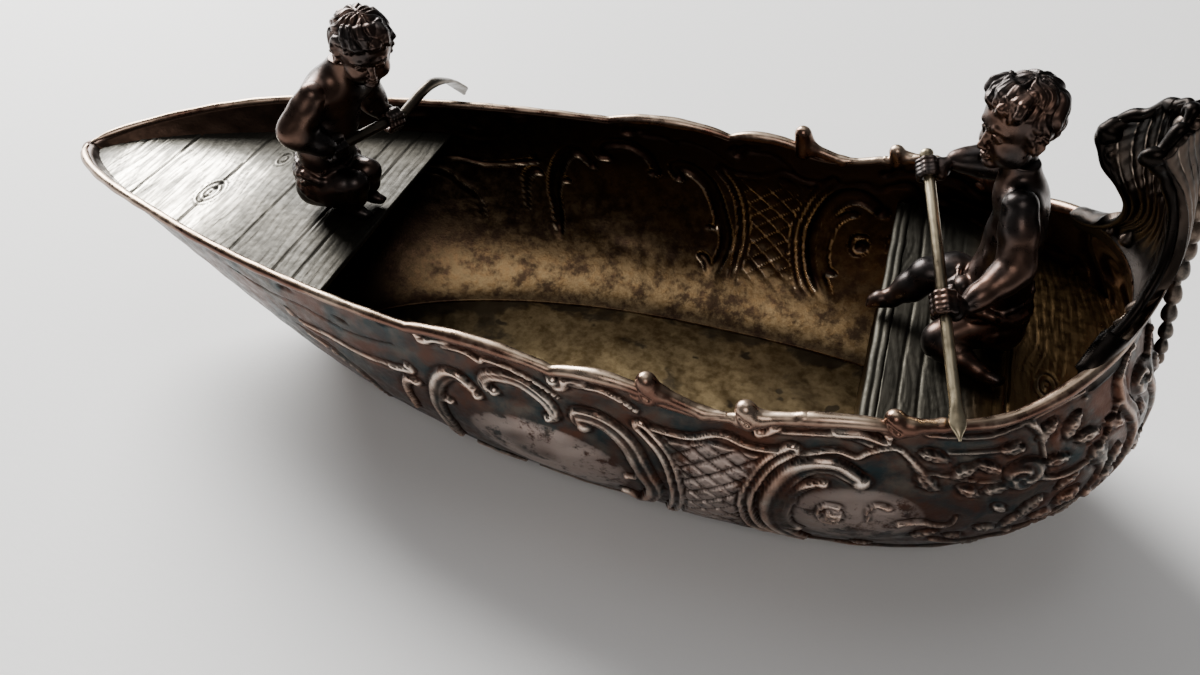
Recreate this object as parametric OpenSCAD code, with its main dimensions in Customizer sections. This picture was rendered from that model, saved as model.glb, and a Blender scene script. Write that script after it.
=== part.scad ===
// Silver table boat in rococo style, with two seated rowers.
// +X is the stern, -Y is port, and the origin is the middle of the flat bottom.

/* [Hull] */
// Height of the rim above the table amidships
rim_height = 38.6; // [36:0.1:41]
// Half width of the boat at the rim
rim_half = 35.8; // [34:0.1:38]
// Half width of the flat bottom
floor_half = 22.4; // [20:0.1:24]
// Distance from the origin to the bow tip, at the rim
bow_reach = 98.5; // [95:0.5:102]
// Distance from the origin to the stern, at the rim
stern_reach = 98.8; // [97:0.1:101]
// Thickness of the stamped sheet
sheet = 0.9; // [0.7:0.05:1.1]
// Radius of the half-round wire round the rim
rim_wire = 0.9; // [0.7:0.05:1.1]

/* [Decks] */
// Height of the top of both decks
deck_top = 33; // [32:0.1:34]
// Thickness of the deck sheet
deck_sheet = 1.0; // [0.8:0.1:1.2]
// Aft edge of the foredeck
foredeck_edge = -28.6; // [-32:0.1:-27]
// Front edge of the aft deck
aft_deck_edge = 64; // [63:0.1:66]

/* [Oars] */
// Radius of the stern rower's pole
pole_r = 0.9; // [0.8:0.05:1]
// Radius of the bow rower's oar
oar_r = 1.1; // [1:0.05:1.2]
// Space all round an oar in a pierced fist
running_fit = 0.05; // [0.03:0.01:0.08]

/* [Fixings] */
// Radius of the stud under each rower
stud_r = 1.5; // [1.2:0.1:1.8]
// Distance across the flats of each nut
nut_flats = 5.5; // [5:0.1:6]

/* [Hidden] */

mid_x = 32;            // widest station of the boat
bow_share = 0.6;       // part of u that covers the bow end
along = 46;            // steps from bow to stern
up = 11;               // steps from bottom to rim
eps = 0.02;
silver = [0.42, 0.37, 0.33];
gilt = [0.62, 0.52, 0.33];
dark = [0.24, 0.21, 0.2];

// ---- Form of the hull: u runs 0 at the bow to 1 at the stern, h 0 at the bottom to 1 at the rim
function clamp01(t) = min(1, max(0, t));
function ease(a, b, x) = let (t = clamp01((x - a) / (b - a))) t * t * (3 - 2 * t);
function half_width(h) = floor_half + (rim_half - floor_half) * pow(1 - pow(1 - h, 3.8), 0.8);
function bow_x(h) = -43 - (bow_reach - 43) * pow(h, 0.88);
function stern_x(h) = 92 + (stern_reach - 92) * (1 - pow(1 - h, 2.6)) + 8.8 * sin(180 * h);
function plan(u, h, inset = 0) = u < bow_share
    ? let (s = u / bow_share, x0 = bow_x(h) + 2.6 * inset)
      [x0 + (mid_x - x0) * s, (half_width(h) - inset) * pow(sin(90 * pow(s, 0.716)), 0.964)]
    : let (s = sin(90 * (u - bow_share) / (1 - bow_share)))
      [mid_x + (stern_x(h) - inset - mid_x) * s,
       (half_width(h) - inset) * sqrt(max(0, 1 - pow(s, 3.17)))];
function rim_x(u) = plan(u, 1)[0];
function sheer(x) = rim_height - 5 * pow(clamp01(1 - (x + bow_reach) / 35), 1.5)
    + 3.5 * ease(45, 75, x) + 6.5 * ease(80, 100, x);
function crest(x, a, b, lift) = x > a && x < b ? lift * pow(sin(180 * (x - a) / (b - a)), 0.7) : 0;
// The waves of the rim lie further aft on the starboard side
function wave(x, lag) = crest(x, -7 + lag, 18 + lag, 1.5) + crest(x, 18 + lag, 34 + lag * 0.9, 1.5)
    - crest(x, 33.5 + lag * 0.9, 47 + lag, 0.9) + crest(x, 49 + lag, 67 + lag, 1.3);
function rim_z(u, lag) = sheer(rim_x(u)) + wave(rim_x(u), lag);
function at_hull(u, h, lag, inset = 0) = let (p = plan(u, h, inset))
    [p[0], p[1], inset + h * (rim_z(u, lag) - inset)];
// The rim crowds its steps where it bends most
function step_u(i) = let (t = i / along) t - 0.035 * sin(360 * t);
function step_h(j) = pow(j / up, 1.5);

// Half shell on the starboard side, as two skins joined round their edges
module half_shell(lag) {
    n = up + 1;
    skin = (along + 1) * n;
    outer = [for (i = [0:along]) for (j = [0:up]) at_hull(step_u(i), step_h(j), lag)];
    inner = [for (i = [0:along]) for (j = [0:up]) at_hull(step_u(i), step_h(j), lag, sheet)];
    function quad(a, b, c, d) = [[a, b, c], [a, c, d]];
    faces = [
        for (i = [0:along - 1]) for (j = [0:up - 1]) let (k = i * n + j)
            each concat(quad(k, k + 1, k + n + 1, k + n),
                quad(skin + k, skin + k + n, skin + k + n + 1, skin + k + 1)),
        for (i = [0:along - 1]) let (k = i * n, t = k + up)
            each concat(quad(k, k + n, skin + k + n, skin + k),
                quad(t, skin + t, skin + t + n, t + n)),
        for (j = [0:up - 1]) let (e = along * n + j)
            each concat(quad(j, skin + j, skin + j + 1, j + 1), quad(e, e + 1, skin + e + 1, skin + e))];
    polyhedron(concat(outer, inner), faces, convexity = 6);
}

// Level outline of the inside of the hull at height z, from x_low to x_high
function level_half(z, x_low, x_high, inset) = [for (i = [0:90]) let (u = i / 90, h = z / sheer(rim_x(u)),
    p = plan(u, h, inset)) if (p[0] > x_low && p[0] < x_high) p];
module level_outline(z, x_low, x_high, inset) {
    half = level_half(z, x_low, x_high, inset);
    first = half[0];
    last = half[len(half) - 1];
    starboard = concat(first[1] > 2 ? [[x_low, first[1]]] : [], half, last[1] > 2 ? [[x_high, last[1]]] : []);
    n = len(starboard);
    polygon(concat(starboard, [for (i = [n - 1:-1:0]) [starboard[i][0], -max(0.02, starboard[i][1])]]));
}

// ---- Swept tube: a ring at each path point, with its own half width and half height
function unit(v) = v / max(1e-9, norm(v));
function heading(path, i) = unit(path[min(i + 1, len(path) - 1)] - path[max(i - 1, 0)]);
module sweep(path, wide, high, upward = [0, 0, 1], sides = 8) {
    n = len(path);
    rings = [for (i = [0:n - 1]) let (d = heading(path, i), a = unit(cross(upward, d)), b = cross(d, a))
        for (k = [0:sides - 1]) let (t = 360 * (k + 0.5) / sides)
            path[i] + a * wide[i] * cos(t) + b * high[i] * sin(t)];
    faces = concat(
        [for (i = [0:n - 2]) for (k = [0:sides - 1]) let (a = i * sides + k, b = i * sides + (k + 1) % sides)
            each [[a, a + sides, b + sides], [a, b + sides, b]]],
        [[for (k = [0:sides - 1]) k]],
        [[for (k = [sides - 1:-1:0]) (n - 1) * sides + k]]);
    polyhedron(rings, faces, convexity = 8);
}
function smooth(points, per) = [for (i = [0:len(points) - 2]) let (p0 = points[max(i - 1, 0)],
    p1 = points[i], p2 = points[i + 1], p3 = points[min(i + 2, len(points) - 1)])
    for (k = [0:per - 1]) let (t = k / per)
        0.5 * (2 * p1 + (p2 - p0) * t + (2 * p0 - 5 * p1 + 4 * p2 - p3) * t * t
            + (3 * p1 - p0 - 3 * p2 + p3) * t * t * t), points[len(points) - 1]];

// ---- Hull pieces
module hull_port() { color(silver) mirror([0, 1, 0]) half_shell(0); }
module hull_starboard() { color(silver) half_shell(11); }
module base_plate() { color(gilt) linear_extrude(sheet) level_outline(0.01, -43, 92, sheet * 0.5); }

// Rim wire with its knobs, on the starboard side
rim_steps = 70;
module rim(lag, knobs) {
    u_of = [for (i = [0:rim_steps]) let (t = i / rim_steps) t - 0.035 * sin(360 * t)];
    path = [for (u = u_of) let (p = plan(u, 1, sheet / 2)) [p[0], p[1] + rim_wire + eps, rim_z(u, lag) + 0.1]];
    radius = [for (i = [0:rim_steps]) rim_wire];
    sweep(path, radius, radius);
    for (k = knobs) {
        u = bow_share + (1 - bow_share) / 90 * asin(clamp01((k[0] - mid_x) / (stern_reach - mid_x)));
        p = plan(u, 1, 0);
        translate([k[0], p[1] + 0.4, rim_z(u, lag) + 0.4]) {
            sphere(k[1], $fn = 24);
            translate([-k[2] / 3, 0, 0]) cylinder(r1 = k[1], r2 = k[1] * 0.62, h = k[2], $fn = 24);
            translate([-k[2] / 3, 0, k[2]]) sphere(k[1] * 0.62, $fn = 24);
        }
    }
}
module rim_port() { color(silver) mirror([0, 1, 0]) rim(0, [[33, 1.7, 1], [48, 1.7, 1], [68, 1.7, 1]]); }
module rim_starboard() { color(silver) rim(11, [[43, 1.8, 3], [61.5, 1.6, 1], [78, 1.5, 1]]); }

// ---- Decks
stern_seat = [79.5, -1, deck_top];
bow_seat = [-38, -1, deck_top];
module stud_hole(seat) { translate([seat[0], seat[1], 0]) cylinder(r = stud_r + 0.1, h = 60, $fn = 32); }
module foredeck() {
    color(dark) difference() {
        translate([0, 0, deck_top - deck_sheet]) linear_extrude(deck_sheet)
            level_outline(deck_top - deck_sheet / 2, -96, foredeck_edge, sheet * 0.7);
        stud_hole(bow_seat);
    }
}
module aft_deck() {
    color(dark) difference() {
        translate([0, 0, deck_top - deck_sheet]) linear_extrude(deck_sheet)
            level_outline(deck_top - deck_sheet / 2, aft_deck_edge + 1.6, 103, sheet * 0.7);
        stud_hole(stern_seat);
    }
}
// Half width of the inside of the hull at station x in the stern
function inside_half(x, h) = let (s = (x - mid_x) / (stern_x(h) - sheet - mid_x))
    (half_width(h) - sheet * 0.7) * sqrt(max(0, 1 - pow(s, 3.17)));
module aft_nosing() {
    half = inside_half(aft_deck_edge, 0.8) - 0.2;
    color(silver) rotate([90, 0, 0]) translate([0, 0, -half]) linear_extrude(2 * half) union() {
        translate([aft_deck_edge, deck_top - deck_sheet - 1]) square([1.6, deck_sheet + 1]);
        translate([aft_deck_edge, deck_top - 0.9]) circle(0.9, $fn = 32);
    }
}
module aft_riser() {
    heights = [for (j = [0:10]) 0.025 + j * 0.076];
    side = [for (h = heights) [inside_half(aft_deck_edge + 1, h),
        min(deck_top - deck_sheet - 1, max(sheet, h * sheer(aft_deck_edge)))]];
    n = len(side);
    color(dark) translate([aft_deck_edge + 0.1, 0, 0]) rotate([90, 0, 90]) linear_extrude(0.9)
        polygon(concat(side, [for (i = [n - 1:-1:0]) [-side[i][0], side[i][1]]]));
}

// ---- Stern ornament: a cupped leaf that opens forwards, a C scroll behind it and a row of husks
leaf_steps = 14;
leaf_rise = 14;
function bend(a, b, c, t) = (1 - t) * (1 - t) * a + 2 * t * (1 - t) * b + t * t * c;
function far_edge(v) = bend([97.2, 9.5, 48.5], [94.4, 2.2, 60], [86.8, 4.5, 69.5], v);
function near_edge(v) = bend([97.2, -9.5, 48.5], [98.4, -3.5, 60], [91, -4.5, 71.5], v);
function leaf_spine(v) = bend([100.2, 0, 47.6], [97, 0, 62], [93.6, 0, 75], v);
module leaf_shell(thick) {
    function front(s, v) = bend(far_edge(v), 2 * leaf_spine(v) - (far_edge(v) + near_edge(v)) / 2,
        near_edge(v), s) + [0, 0, 2.2 * pow(v, 3) * sin(180 * s)];
    function behind(s, v) = let (e = 0.02,
        n = unit(cross(front(min(1, s + e), v) - front(max(0, s - e), v),
            front(s, min(1, v + e)) - front(s, max(0, v - e)))))
        front(s, v) - n * thick;
    n = leaf_rise + 1;
    skin = (leaf_steps + 1) * n;
    points = concat([for (i = [0:leaf_steps]) for (j = [0:leaf_rise]) front(i / leaf_steps, j / leaf_rise)],
        [for (i = [0:leaf_steps]) for (j = [0:leaf_rise]) behind(i / leaf_steps, j / leaf_rise)]);
    function quad(a, b, c, d) = [[a, b, c], [a, c, d]];
    faces = [
        for (i = [0:leaf_steps - 1]) for (j = [0:leaf_rise - 1]) let (k = i * n + j)
            each concat(quad(k, k + n, k + n + 1, k + 1),
                quad(skin + k, skin + k + 1, skin + k + n + 1, skin + k + n)),
        for (i = [0:leaf_steps - 1]) let (k = i * n, t = k + leaf_rise)
            each concat(quad(k, skin + k, skin + k + n, k + n), quad(t, t + n, skin + t + n, skin + t)),
        for (j = [0:leaf_rise - 1]) let (e = leaf_steps * n + j)
            each concat(quad(j, j + 1, skin + j + 1, skin + j), quad(e, skin + e, skin + e + 1, e + 1))];
    polyhedron(points, faces, convexity = 6);
}
module stern_leaf() { color(dark) leaf_shell(1.4); }
scroll_centre = [98.4, -0.6, 72.6];
module stern_scroll() {
    turns = [for (i = [0:26]) let (t = i / 26, a = 150 - 330 * t, r = 4.6 - 1.2 * t * t)
        scroll_centre + [r * cos(a), 0, r * sin(a)]];
    radius = [for (i = [0:26]) 1.35 - 0.35 * i / 26];
    color(silver) sweep(turns, radius, radius, [0, 1, 0]);
}
husk_path = smooth([[97.7, -0.6, 66.5], [98.9, -0.6, 61], [100.2, -0.6, 55.5], [102.4, -0.6, 47.5],
    [104.3, -0.6, 41], [105.4, -0.6, 36.5]], 5);
module stern_husks() {
    n = len(husk_path);
    radius = [for (i = [0:n - 1]) let (t = i / (n - 1)) (1.6 - 0.7 * t) * (1 + 0.3 * sin(360 * 4 * t))];
    color(silver) sweep(husk_path, radius, radius, [0, 1, 0]);
}

// ---- Rowers: cast in pieces, each a few rounded lumps
module limb(a, b, ra, rb) {
    hull() {
        translate(a) sphere(ra, $fn = 20);
        translate(b) sphere(rb, $fn = 20);
    }
}
module egg(centre, size, turn = [0, 0, 0]) {
    translate(centre) rotate(turn) resize(2 * size) sphere(10, $fn = 26);
}
// A closed fist round a shaft that runs from a to b
module fist(centre, size, a, b, bore_r, wrist, wrist_r) {
    d = unit(b - a);
    tilt = acos(d[2]);
    turn = atan2(d[1], d[0]);
    difference() {
        hull() {
            translate(centre) rotate([0, tilt, turn]) cylinder(r = size, h = size * 1.7, center = true, $fn = 24);
            translate(wrist) sphere(wrist_r, $fn = 20);
        }
        translate(centre) rotate([0, tilt, turn]) cylinder(r = bore_r, h = 12, center = true, $fn = 48);
    }
}

// Stern rower, who faces the bow
pole_top = [64.4, 5, 60.6];
pole_foot = [75.8, -35, 43.5];
function on_pole(t) = pole_top + (pole_foot - pole_top) * t;
stern_left_grip = on_pole(0.53);
stern_right_grip = on_pole(0.078);
stern_left_wrist = [73.4, -15, 51];
stern_right_wrist = [68.4, 3.6, 61];
stern_left_elbow = [79.2, -10.8, 54.6];
stern_left_shoulder = [76, -6.9, 62];
stern_right_shoulder = [75.2, 6.2, 60.4];
module stern_rower_body() {
    hip = [79.5, -1, 38.2];
    color(dark) union() {
        limb(hip, [79.8, -1, 45], 6.1, 5.4);
        limb([79.8, -1, 45], [78, -0.4, 56], 5.4, 5.3);
        limb([76.8, -4.4, 59.6], [76.4, 3.8, 58.4], 2.8, 2.8);
        limb([77, -0.4, 58], [76.6, -0.2, 62.4], 3, 2.6);
        limb([77.5, 3, 38.3], [69.3, 2.2, 41], 3.6, 2.3);
        limb([69.3, 2.2, 41], [64.6, 0.6, 35.8], 2.3, 1.5);
        limb([64.6, 0.6, 35.8], [62.3, 0.4, 34.9], 1.5, 1.1);
        limb([77.5, -4.5, 37.5], [72.6, -8.6, 36], 3.4, 2.4);
        limb([72.6, -8.6, 36], [79, -11.5, 35], 2.2, 1.5);
        limb([79.5, 1, 36], [79.5, -3, 36], 2.9, 2.9);
    }
}
module stern_rower_head() { color(dark) egg([75.3, 0, 72.1], [6, 5.2, 7.3], [0, 12, 0]); }
module stern_rower_left_arm() {
    color(dark) union() {
        limb(stern_left_shoulder, stern_left_elbow, 2.4, 2);
        limb(stern_left_elbow, stern_left_wrist + unit(stern_left_elbow - stern_left_wrist) * 1.2, 2, 1.5);
    }
}
module stern_rower_right_arm() {
    color(dark) limb(stern_right_shoulder, stern_right_wrist + [1.3, 0, -0.2], 2.4, 1.4);
}
module stern_rower_left_fist() {
    color(dark) fist(stern_left_grip, 2.1, pole_top, pole_foot, pole_r + running_fit, stern_left_wrist, 1.4);
}
module stern_rower_right_fist() {
    color(dark) fist(stern_right_grip, 2, pole_top, pole_foot, pole_r + running_fit, stern_right_wrist, 1.3);
}

// Bow rower, who faces the stern with a bowed head
oar_butt = [-35.5, -11, 48.9];
oar_bend = [-28.9, 12, 46.9];
function on_oar(t) = oar_butt + (oar_bend - oar_butt) * t;
bow_right_grip = on_oar(0.16);
bow_left_grip = on_oar(0.84);
bow_right_wrist = [-37.2, -8.6, 49.4];
bow_left_wrist = [-32.2, 8.4, 48.8];
bow_right_elbow = [-40.3, -10.4, 53.2];
bow_right_shoulder = [-36.8, -7, 60];
bow_left_elbow = [-34.4, 9, 50.8];
bow_left_shoulder = [-32.6, 6.4, 56.4];
module bow_rower_body() {
    color(dark) union() {
        limb([-39.2, -1, 38.8], [-39.4, -0.8, 46], 5.8, 4.4);
        limb([-39.4, -0.8, 46], [-36.4, -0.4, 55.4], 4.4, 4.9);
        limb([-36, -4.6, 57.2], [-33.4, 3.8, 55.4], 2.8, 2.8);
        limb([-34.4, -0.4, 55], [-31.8, 0, 60.2], 3.2, 2.7);
        limb([-36, -4, 38.4], [-31.5, -4, 40.4], 3.7, 2.4);
        limb([-31.5, -4, 40.4], [-33.2, -4.6, 35.4], 2.3, 1.5);
        limb([-33.2, -4.6, 35], [-30.9, -4.8, 34.2], 1.5, 1.1);
        limb([-36, 2.4, 38.2], [-31.2, 2.8, 39], 3.7, 2.4);
        limb([-31.2, 2.8, 39], [-33, 3.2, 35.4], 2.3, 1.5);
        limb([-33, 3.2, 35], [-30.8, 3.4, 34.2], 1.5, 1.1);
        limb([-38, 1, 36], [-38, -3, 36], 2.9, 2.9);
    }
}
module bow_rower_head() { color(dark) egg([-28.4, -0.2, 66.8], [6.2, 5.6, 6.9], [0, -22, 0]); }
module bow_rower_right_arm() {
    color(dark) union() {
        limb(bow_right_shoulder, bow_right_elbow, 2.5, 2.1);
        limb(bow_right_elbow, bow_right_wrist + unit(bow_right_elbow - bow_right_wrist) * 1.2, 2.1, 1.6);
    }
}
module bow_rower_left_arm() {
    color(dark) union() {
        limb(bow_left_shoulder, bow_left_elbow, 2.5, 2);
        limb(bow_left_elbow, bow_left_wrist + unit(bow_left_elbow - bow_left_wrist) * 0.9, 2, 1.7);
    }
}
module bow_rower_right_fist() {
    color(dark) fist(bow_right_grip, 2.2, oar_butt, oar_bend, oar_r + running_fit, bow_right_wrist, 1.5);
}
module bow_rower_left_fist() {
    color(dark) fist(bow_left_grip, 2.2, oar_butt, oar_bend, oar_r + running_fit, bow_left_wrist, 1.5);
}

// ---- Oars: a straight round shaft through the fists, and a formed end
module shaft(a, b, r) {
    d = b - a;
    translate(a) rotate([0, acos(d[2] / norm(d)), atan2(d[1], d[0])]) cylinder(r = r, h = norm(d), $fn = 48);
}
module stern_pole() {
    leaf = [for (t = [0.88, 0.91, 0.94, 0.97, 1]) on_pole(t)];
    color(silver) union() {
        translate(pole_top) sphere(pole_r * 1.25, $fn = 24);
        shaft(pole_top, on_pole(0.9), pole_r);
        sweep(leaf, [0.8, 1.1, 1.4, 1.1, 0.3], [0.8, 0.75, 0.6, 0.5, 0.3]);
    }
}
module bow_oar() {
    blade = smooth([on_oar(0.98), [-28.1, 14, 48.2], [-27.2, 17, 49.3], [-27, 20.5, 49],
        [-27.6, 25, 47.1], [-28.3, 29.5, 44.4], [-28.4, 33.2, 41.4], [-28.5, 35.6, 38.4]], 4);
    n = len(blade);
    t = [for (i = [0:n - 1]) i / (n - 1)];
    color(silver) union() {
        translate(oar_butt) sphere(oar_r * 1.15, $fn = 24);
        shaft(oar_butt, oar_bend, oar_r);
        sweep(blade, [for (s = t) oar_r * (0.95 + 1.3 * ease(0.35, 0.75, s) - 1.6 * ease(0.85, 1, s))],
            [for (s = t) oar_r * (0.95 - 0.45 * ease(0.35, 0.75, s))]);
    }
}

// ---- Hidden fixings: a stud up into each rower, with a washer and nut under the deck
module stud(seat) { translate([seat[0], seat[1], deck_top - 6]) cylinder(r = stud_r, h = 6 + eps, $fn = 32); }
module washer(seat) {
    translate([seat[0], seat[1], deck_top - deck_sheet - 0.6]) difference() {
        cylinder(r = 4, h = 0.6, $fn = 48);
        translate([0, 0, -1]) cylinder(r = stud_r + 0.1, h = 3, $fn = 32);
    }
}
module nut(seat) {
    translate([seat[0], seat[1], deck_top - deck_sheet - 2.8]) difference() {
        cylinder(r = nut_flats / 2 / cos(30), h = 2.2, $fn = 6);
        translate([0, 0, -1]) cylinder(r = stud_r, h = 5, $fn = 32);
    }
}
module bow_stud() { color(silver) stud(bow_seat); }
module bow_washer() { color(silver) washer(bow_seat); }
module bow_nut() { color(silver) nut(bow_seat); }
module stern_stud() { color(silver) stud(stern_seat); }
module stern_washer() { color(silver) washer(stern_seat); }
module stern_nut() { color(silver) nut(stern_seat); }

hull_port();
hull_starboard();
base_plate();
rim_port();
rim_starboard();
foredeck();
aft_deck();
aft_nosing();
aft_riser();
stern_leaf();
stern_scroll();
stern_husks();
bow_rower_body();
bow_rower_head();
bow_rower_left_arm();
bow_rower_right_arm();
bow_rower_left_fist();
bow_rower_right_fist();
stern_rower_body();
stern_rower_head();
stern_rower_left_arm();
stern_rower_right_arm();
stern_rower_left_fist();
stern_rower_right_fist();
bow_oar();
stern_pole();
bow_stud();
bow_washer();
bow_nut();
stern_stud();
stern_washer();
stern_nut();
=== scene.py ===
# Silver table boat in rococo style. Two stamped half shells are soldered together at bow and stern
# and decked at both ends, and a cast rower is bolted down on each deck.
# +X is the stern and -Y is port. Shapes are worked out in millimetres and made in metres.
import math

import bpy
import numpy as np
from mathutils import Matrix, Vector


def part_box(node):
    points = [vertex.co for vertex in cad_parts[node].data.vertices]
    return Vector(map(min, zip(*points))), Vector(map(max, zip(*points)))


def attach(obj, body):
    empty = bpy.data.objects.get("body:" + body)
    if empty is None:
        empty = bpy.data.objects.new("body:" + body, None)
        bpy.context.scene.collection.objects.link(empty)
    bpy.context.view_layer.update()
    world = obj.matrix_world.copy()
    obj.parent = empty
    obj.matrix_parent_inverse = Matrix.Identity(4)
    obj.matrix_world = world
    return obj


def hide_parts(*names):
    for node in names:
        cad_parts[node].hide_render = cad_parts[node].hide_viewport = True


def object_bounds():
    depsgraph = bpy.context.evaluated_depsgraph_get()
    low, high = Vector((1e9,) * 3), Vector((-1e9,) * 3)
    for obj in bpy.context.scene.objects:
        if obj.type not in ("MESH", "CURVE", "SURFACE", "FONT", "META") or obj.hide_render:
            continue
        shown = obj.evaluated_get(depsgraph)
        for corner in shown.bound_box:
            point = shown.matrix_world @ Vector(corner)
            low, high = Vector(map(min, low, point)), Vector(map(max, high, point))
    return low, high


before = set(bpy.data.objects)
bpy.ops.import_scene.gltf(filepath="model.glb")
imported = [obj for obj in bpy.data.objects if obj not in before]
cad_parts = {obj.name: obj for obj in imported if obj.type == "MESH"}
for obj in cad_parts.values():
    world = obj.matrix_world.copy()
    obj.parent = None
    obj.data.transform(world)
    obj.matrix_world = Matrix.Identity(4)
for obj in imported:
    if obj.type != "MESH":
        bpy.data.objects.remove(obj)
cad_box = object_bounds()

# ---- Camera, table top and light
# A pale matt table top under soft light from a large window to the left and behind.
camera = bpy.data.objects.new("camera", bpy.data.cameras.new("camera"))
bpy.context.scene.collection.objects.link(camera)
camera.location = (0.0565, -0.12727, 0.1402)
camera.rotation_euler = (math.radians(46.31), 0, math.radians(18.52))
camera.data.lens = 28.5
camera.data.sensor_width = 36
camera.data.clip_start = 0.005
bpy.context.scene.camera = camera


def add(tree, kind, inputs=(), **settings):
    """A node with its settings; inputs are (socket name or number, value or output to link)."""
    node = tree.nodes.new(kind)
    for key, value in settings.items():
        setattr(node, key, value)
    for key, value in inputs:
        if isinstance(value, bpy.types.NodeSocket):
            tree.links.new(value, node.inputs[key])
        else:
            node.inputs[key].default_value = value
    return node


def new_finish(name):
    """An empty material with its shader, and the coordinates its patterns read."""
    material = bpy.data.materials.new(name)
    material.use_nodes = True
    tree = material.node_tree
    tree.nodes.clear()
    shader = add(tree, "ShaderNodeBsdfPrincipled")
    add(tree, "ShaderNodeOutputMaterial", [("Surface", shader.outputs["BSDF"])])
    place = add(tree, "ShaderNodeTexCoord").outputs["Object"]
    return material, tree, shader, place


def noise(tree, place, scale, detail=3.0, rough=0.55, twist=0.0):
    node = add(tree, "ShaderNodeTexNoise", [("Vector", place), ("Scale", scale), ("Detail", detail),
                                            ("Roughness", rough), ("Distortion", twist)])
    return node.outputs["Fac"]


def spread(tree, value, low, high, to_low=0.0, to_high=1.0):
    """value taken from low..high to to_low..to_high, smoothly and without going past."""
    node = add(tree, "ShaderNodeMapRange", [("Value", value), ("From Min", low), ("From Max", high),
                                            ("To Min", to_low), ("To Max", to_high)],
               interpolation_type="SMOOTHSTEP")
    return node.outputs["Result"]


def sums(tree, operation, first, second=0.0):
    node = add(tree, "ShaderNodeMath", [(0, first), (1, second)], operation=operation)
    return node.outputs["Value"]


def tint(tree, share, first, second):
    """first where share is 0, second where it is 1. Either may be a colour or an output."""
    node = add(tree, "ShaderNodeMix", data_type="RGBA")
    for key, value in ((0, share), (6, first), (7, second)):
        if isinstance(value, bpy.types.NodeSocket):
            tree.links.new(value, node.inputs[key])
        else:
            node.inputs[key].default_value = value if key == 0 else (*value, 1)
    return node.outputs[2]


def bump(tree, shader, height, strength, distance):
    node = add(tree, "ShaderNodeBump", [("Height", height), ("Strength", strength),
                                        ("Distance", distance)])
    tree.links.new(node.outputs["Normal"], shader.inputs["Normal"])


def metal(tree, shader, colour, gloss, relief, strength, depth):
    """Makes the shader a metal of that colour and roughness, with fine relief of that depth in metres."""
    tree.links.new(colour, shader.inputs["Base Color"])
    shader.inputs["Metallic"].default_value = 1.0
    tree.links.new(gloss, shader.inputs["Roughness"])
    bump(tree, shader, relief, strength, depth)


def wear(tree):
    """The four marks stored at every point: rubbed, dirty, a third use of its own, and a fourth. On the decks
    the first two also hold a painted highlight and painted shade, and inside the hull the third holds a
    painted shade towards the bow.
    """
    patina_and_painted_light = add(tree, "ShaderNodeAttribute", attribute_name="patina_and_painted_light")
    parts = add(tree, "ShaderNodeSeparateColor", [("Color", patina_and_painted_light.outputs["Color"])])
    return (*parts.outputs[:3], patina_and_painted_light.outputs["Alpha"])


table_paint, tree, shader, place = new_finish("table_paint")
mottle = noise(tree, place, 9, 5)
tree.links.new(tint(tree, mottle, (0.86, 0.865, 0.865), (0.92, 0.92, 0.915)), shader.inputs["Base Color"])
shader.inputs["Roughness"].default_value = 0.62
shader.inputs["Specular IOR Level"].default_value = 0.3
bump(tree, shader, noise(tree, place, 700, 2), 0.15, 0.0002)

top_mesh = bpy.data.meshes.new("table_top")
top_mesh.from_pydata([(-3, -3, 0), (3, -3, 0), (3, 3, 0), (-3, 3, 0)], [], [(0, 1, 2, 3)])
top_mesh.transform(Matrix.Translation((0, 0, cad_box[0].z - 0.00005)))
top_mesh.materials.append(table_paint)
table_top = bpy.data.objects.new("table_top", top_mesh)
bpy.context.scene.collection.objects.link(table_top)

LIGHTS = (  # name, place, power in watts, size, colour
    ("window", (-1.04, 0.90, 0.74), 92, 1.0, (1.0, 0.985, 0.96)),
    ("ceiling", (-0.2, 0.4, 1.4), 3.5, 1.1, (0.97, 0.98, 1.0)),
    ("front_card", (0.15, -0.75, 0.85), 2.6, 0.55, (1.0, 0.93, 0.88)),
)
for name, spot, power, size, colour in LIGHTS:
    lamp = bpy.data.lights.new(name, "AREA")
    lamp.shape = "DISK"
    lamp.size = size
    lamp.energy = power
    lamp.color = colour
    holder = bpy.data.objects.new(name, lamp)
    holder.location = spot
    holder.rotation_euler = (Vector((0, 0, 0.02)) - Vector(spot)).to_track_quat("-Z", "Y").to_euler()
    bpy.context.scene.collection.objects.link(holder)

room = bpy.data.worlds.new("room")
bpy.context.scene.world = room
room.use_nodes = True
room.node_tree.nodes["Background"].inputs["Color"].default_value = (0.88, 0.90, 0.93, 1)
room.node_tree.nodes["Background"].inputs["Strength"].default_value = 0.11

# ---- Half shells
# Each side of the boat is one stamped and chased silver sheet, 0.9 mm thick, so the inside shows the
# ornament sunk where the outside shows it raised. The two are soldered at bow, stern and floor.
SHEET = 0.9
RIM_HEIGHT = 38.6
BOW_REACH = 98.5
MID_X = 32  # the widest station
BOW_SHARE = 0.6  # part of u that covers the bow end
FLOOR_HALF = 22.4
ROUNDNESS = 3.17  # of the stern, seen from above


def clamp(t):
    return np.clip(t, 0.0, 1.0)


def ease(a, b, x):
    """Rises smoothly from 0 at a to 1 at b; b may lie below a."""
    t = clamp((x - a) / (b - a))
    return t * t * (3 - 2 * t)


def half_width(h):
    """Half width of the boat amidships; h is 0 at the floor and 1 at the rim."""
    return FLOOR_HALF + 13.4 * (1 - (1 - h) ** 3.8) ** 0.8


def stern_reach(h):
    return 92 + 6.8 * (1 - (1 - h) ** 2.6) + 8.8 * np.sin(np.pi * h)


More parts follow.
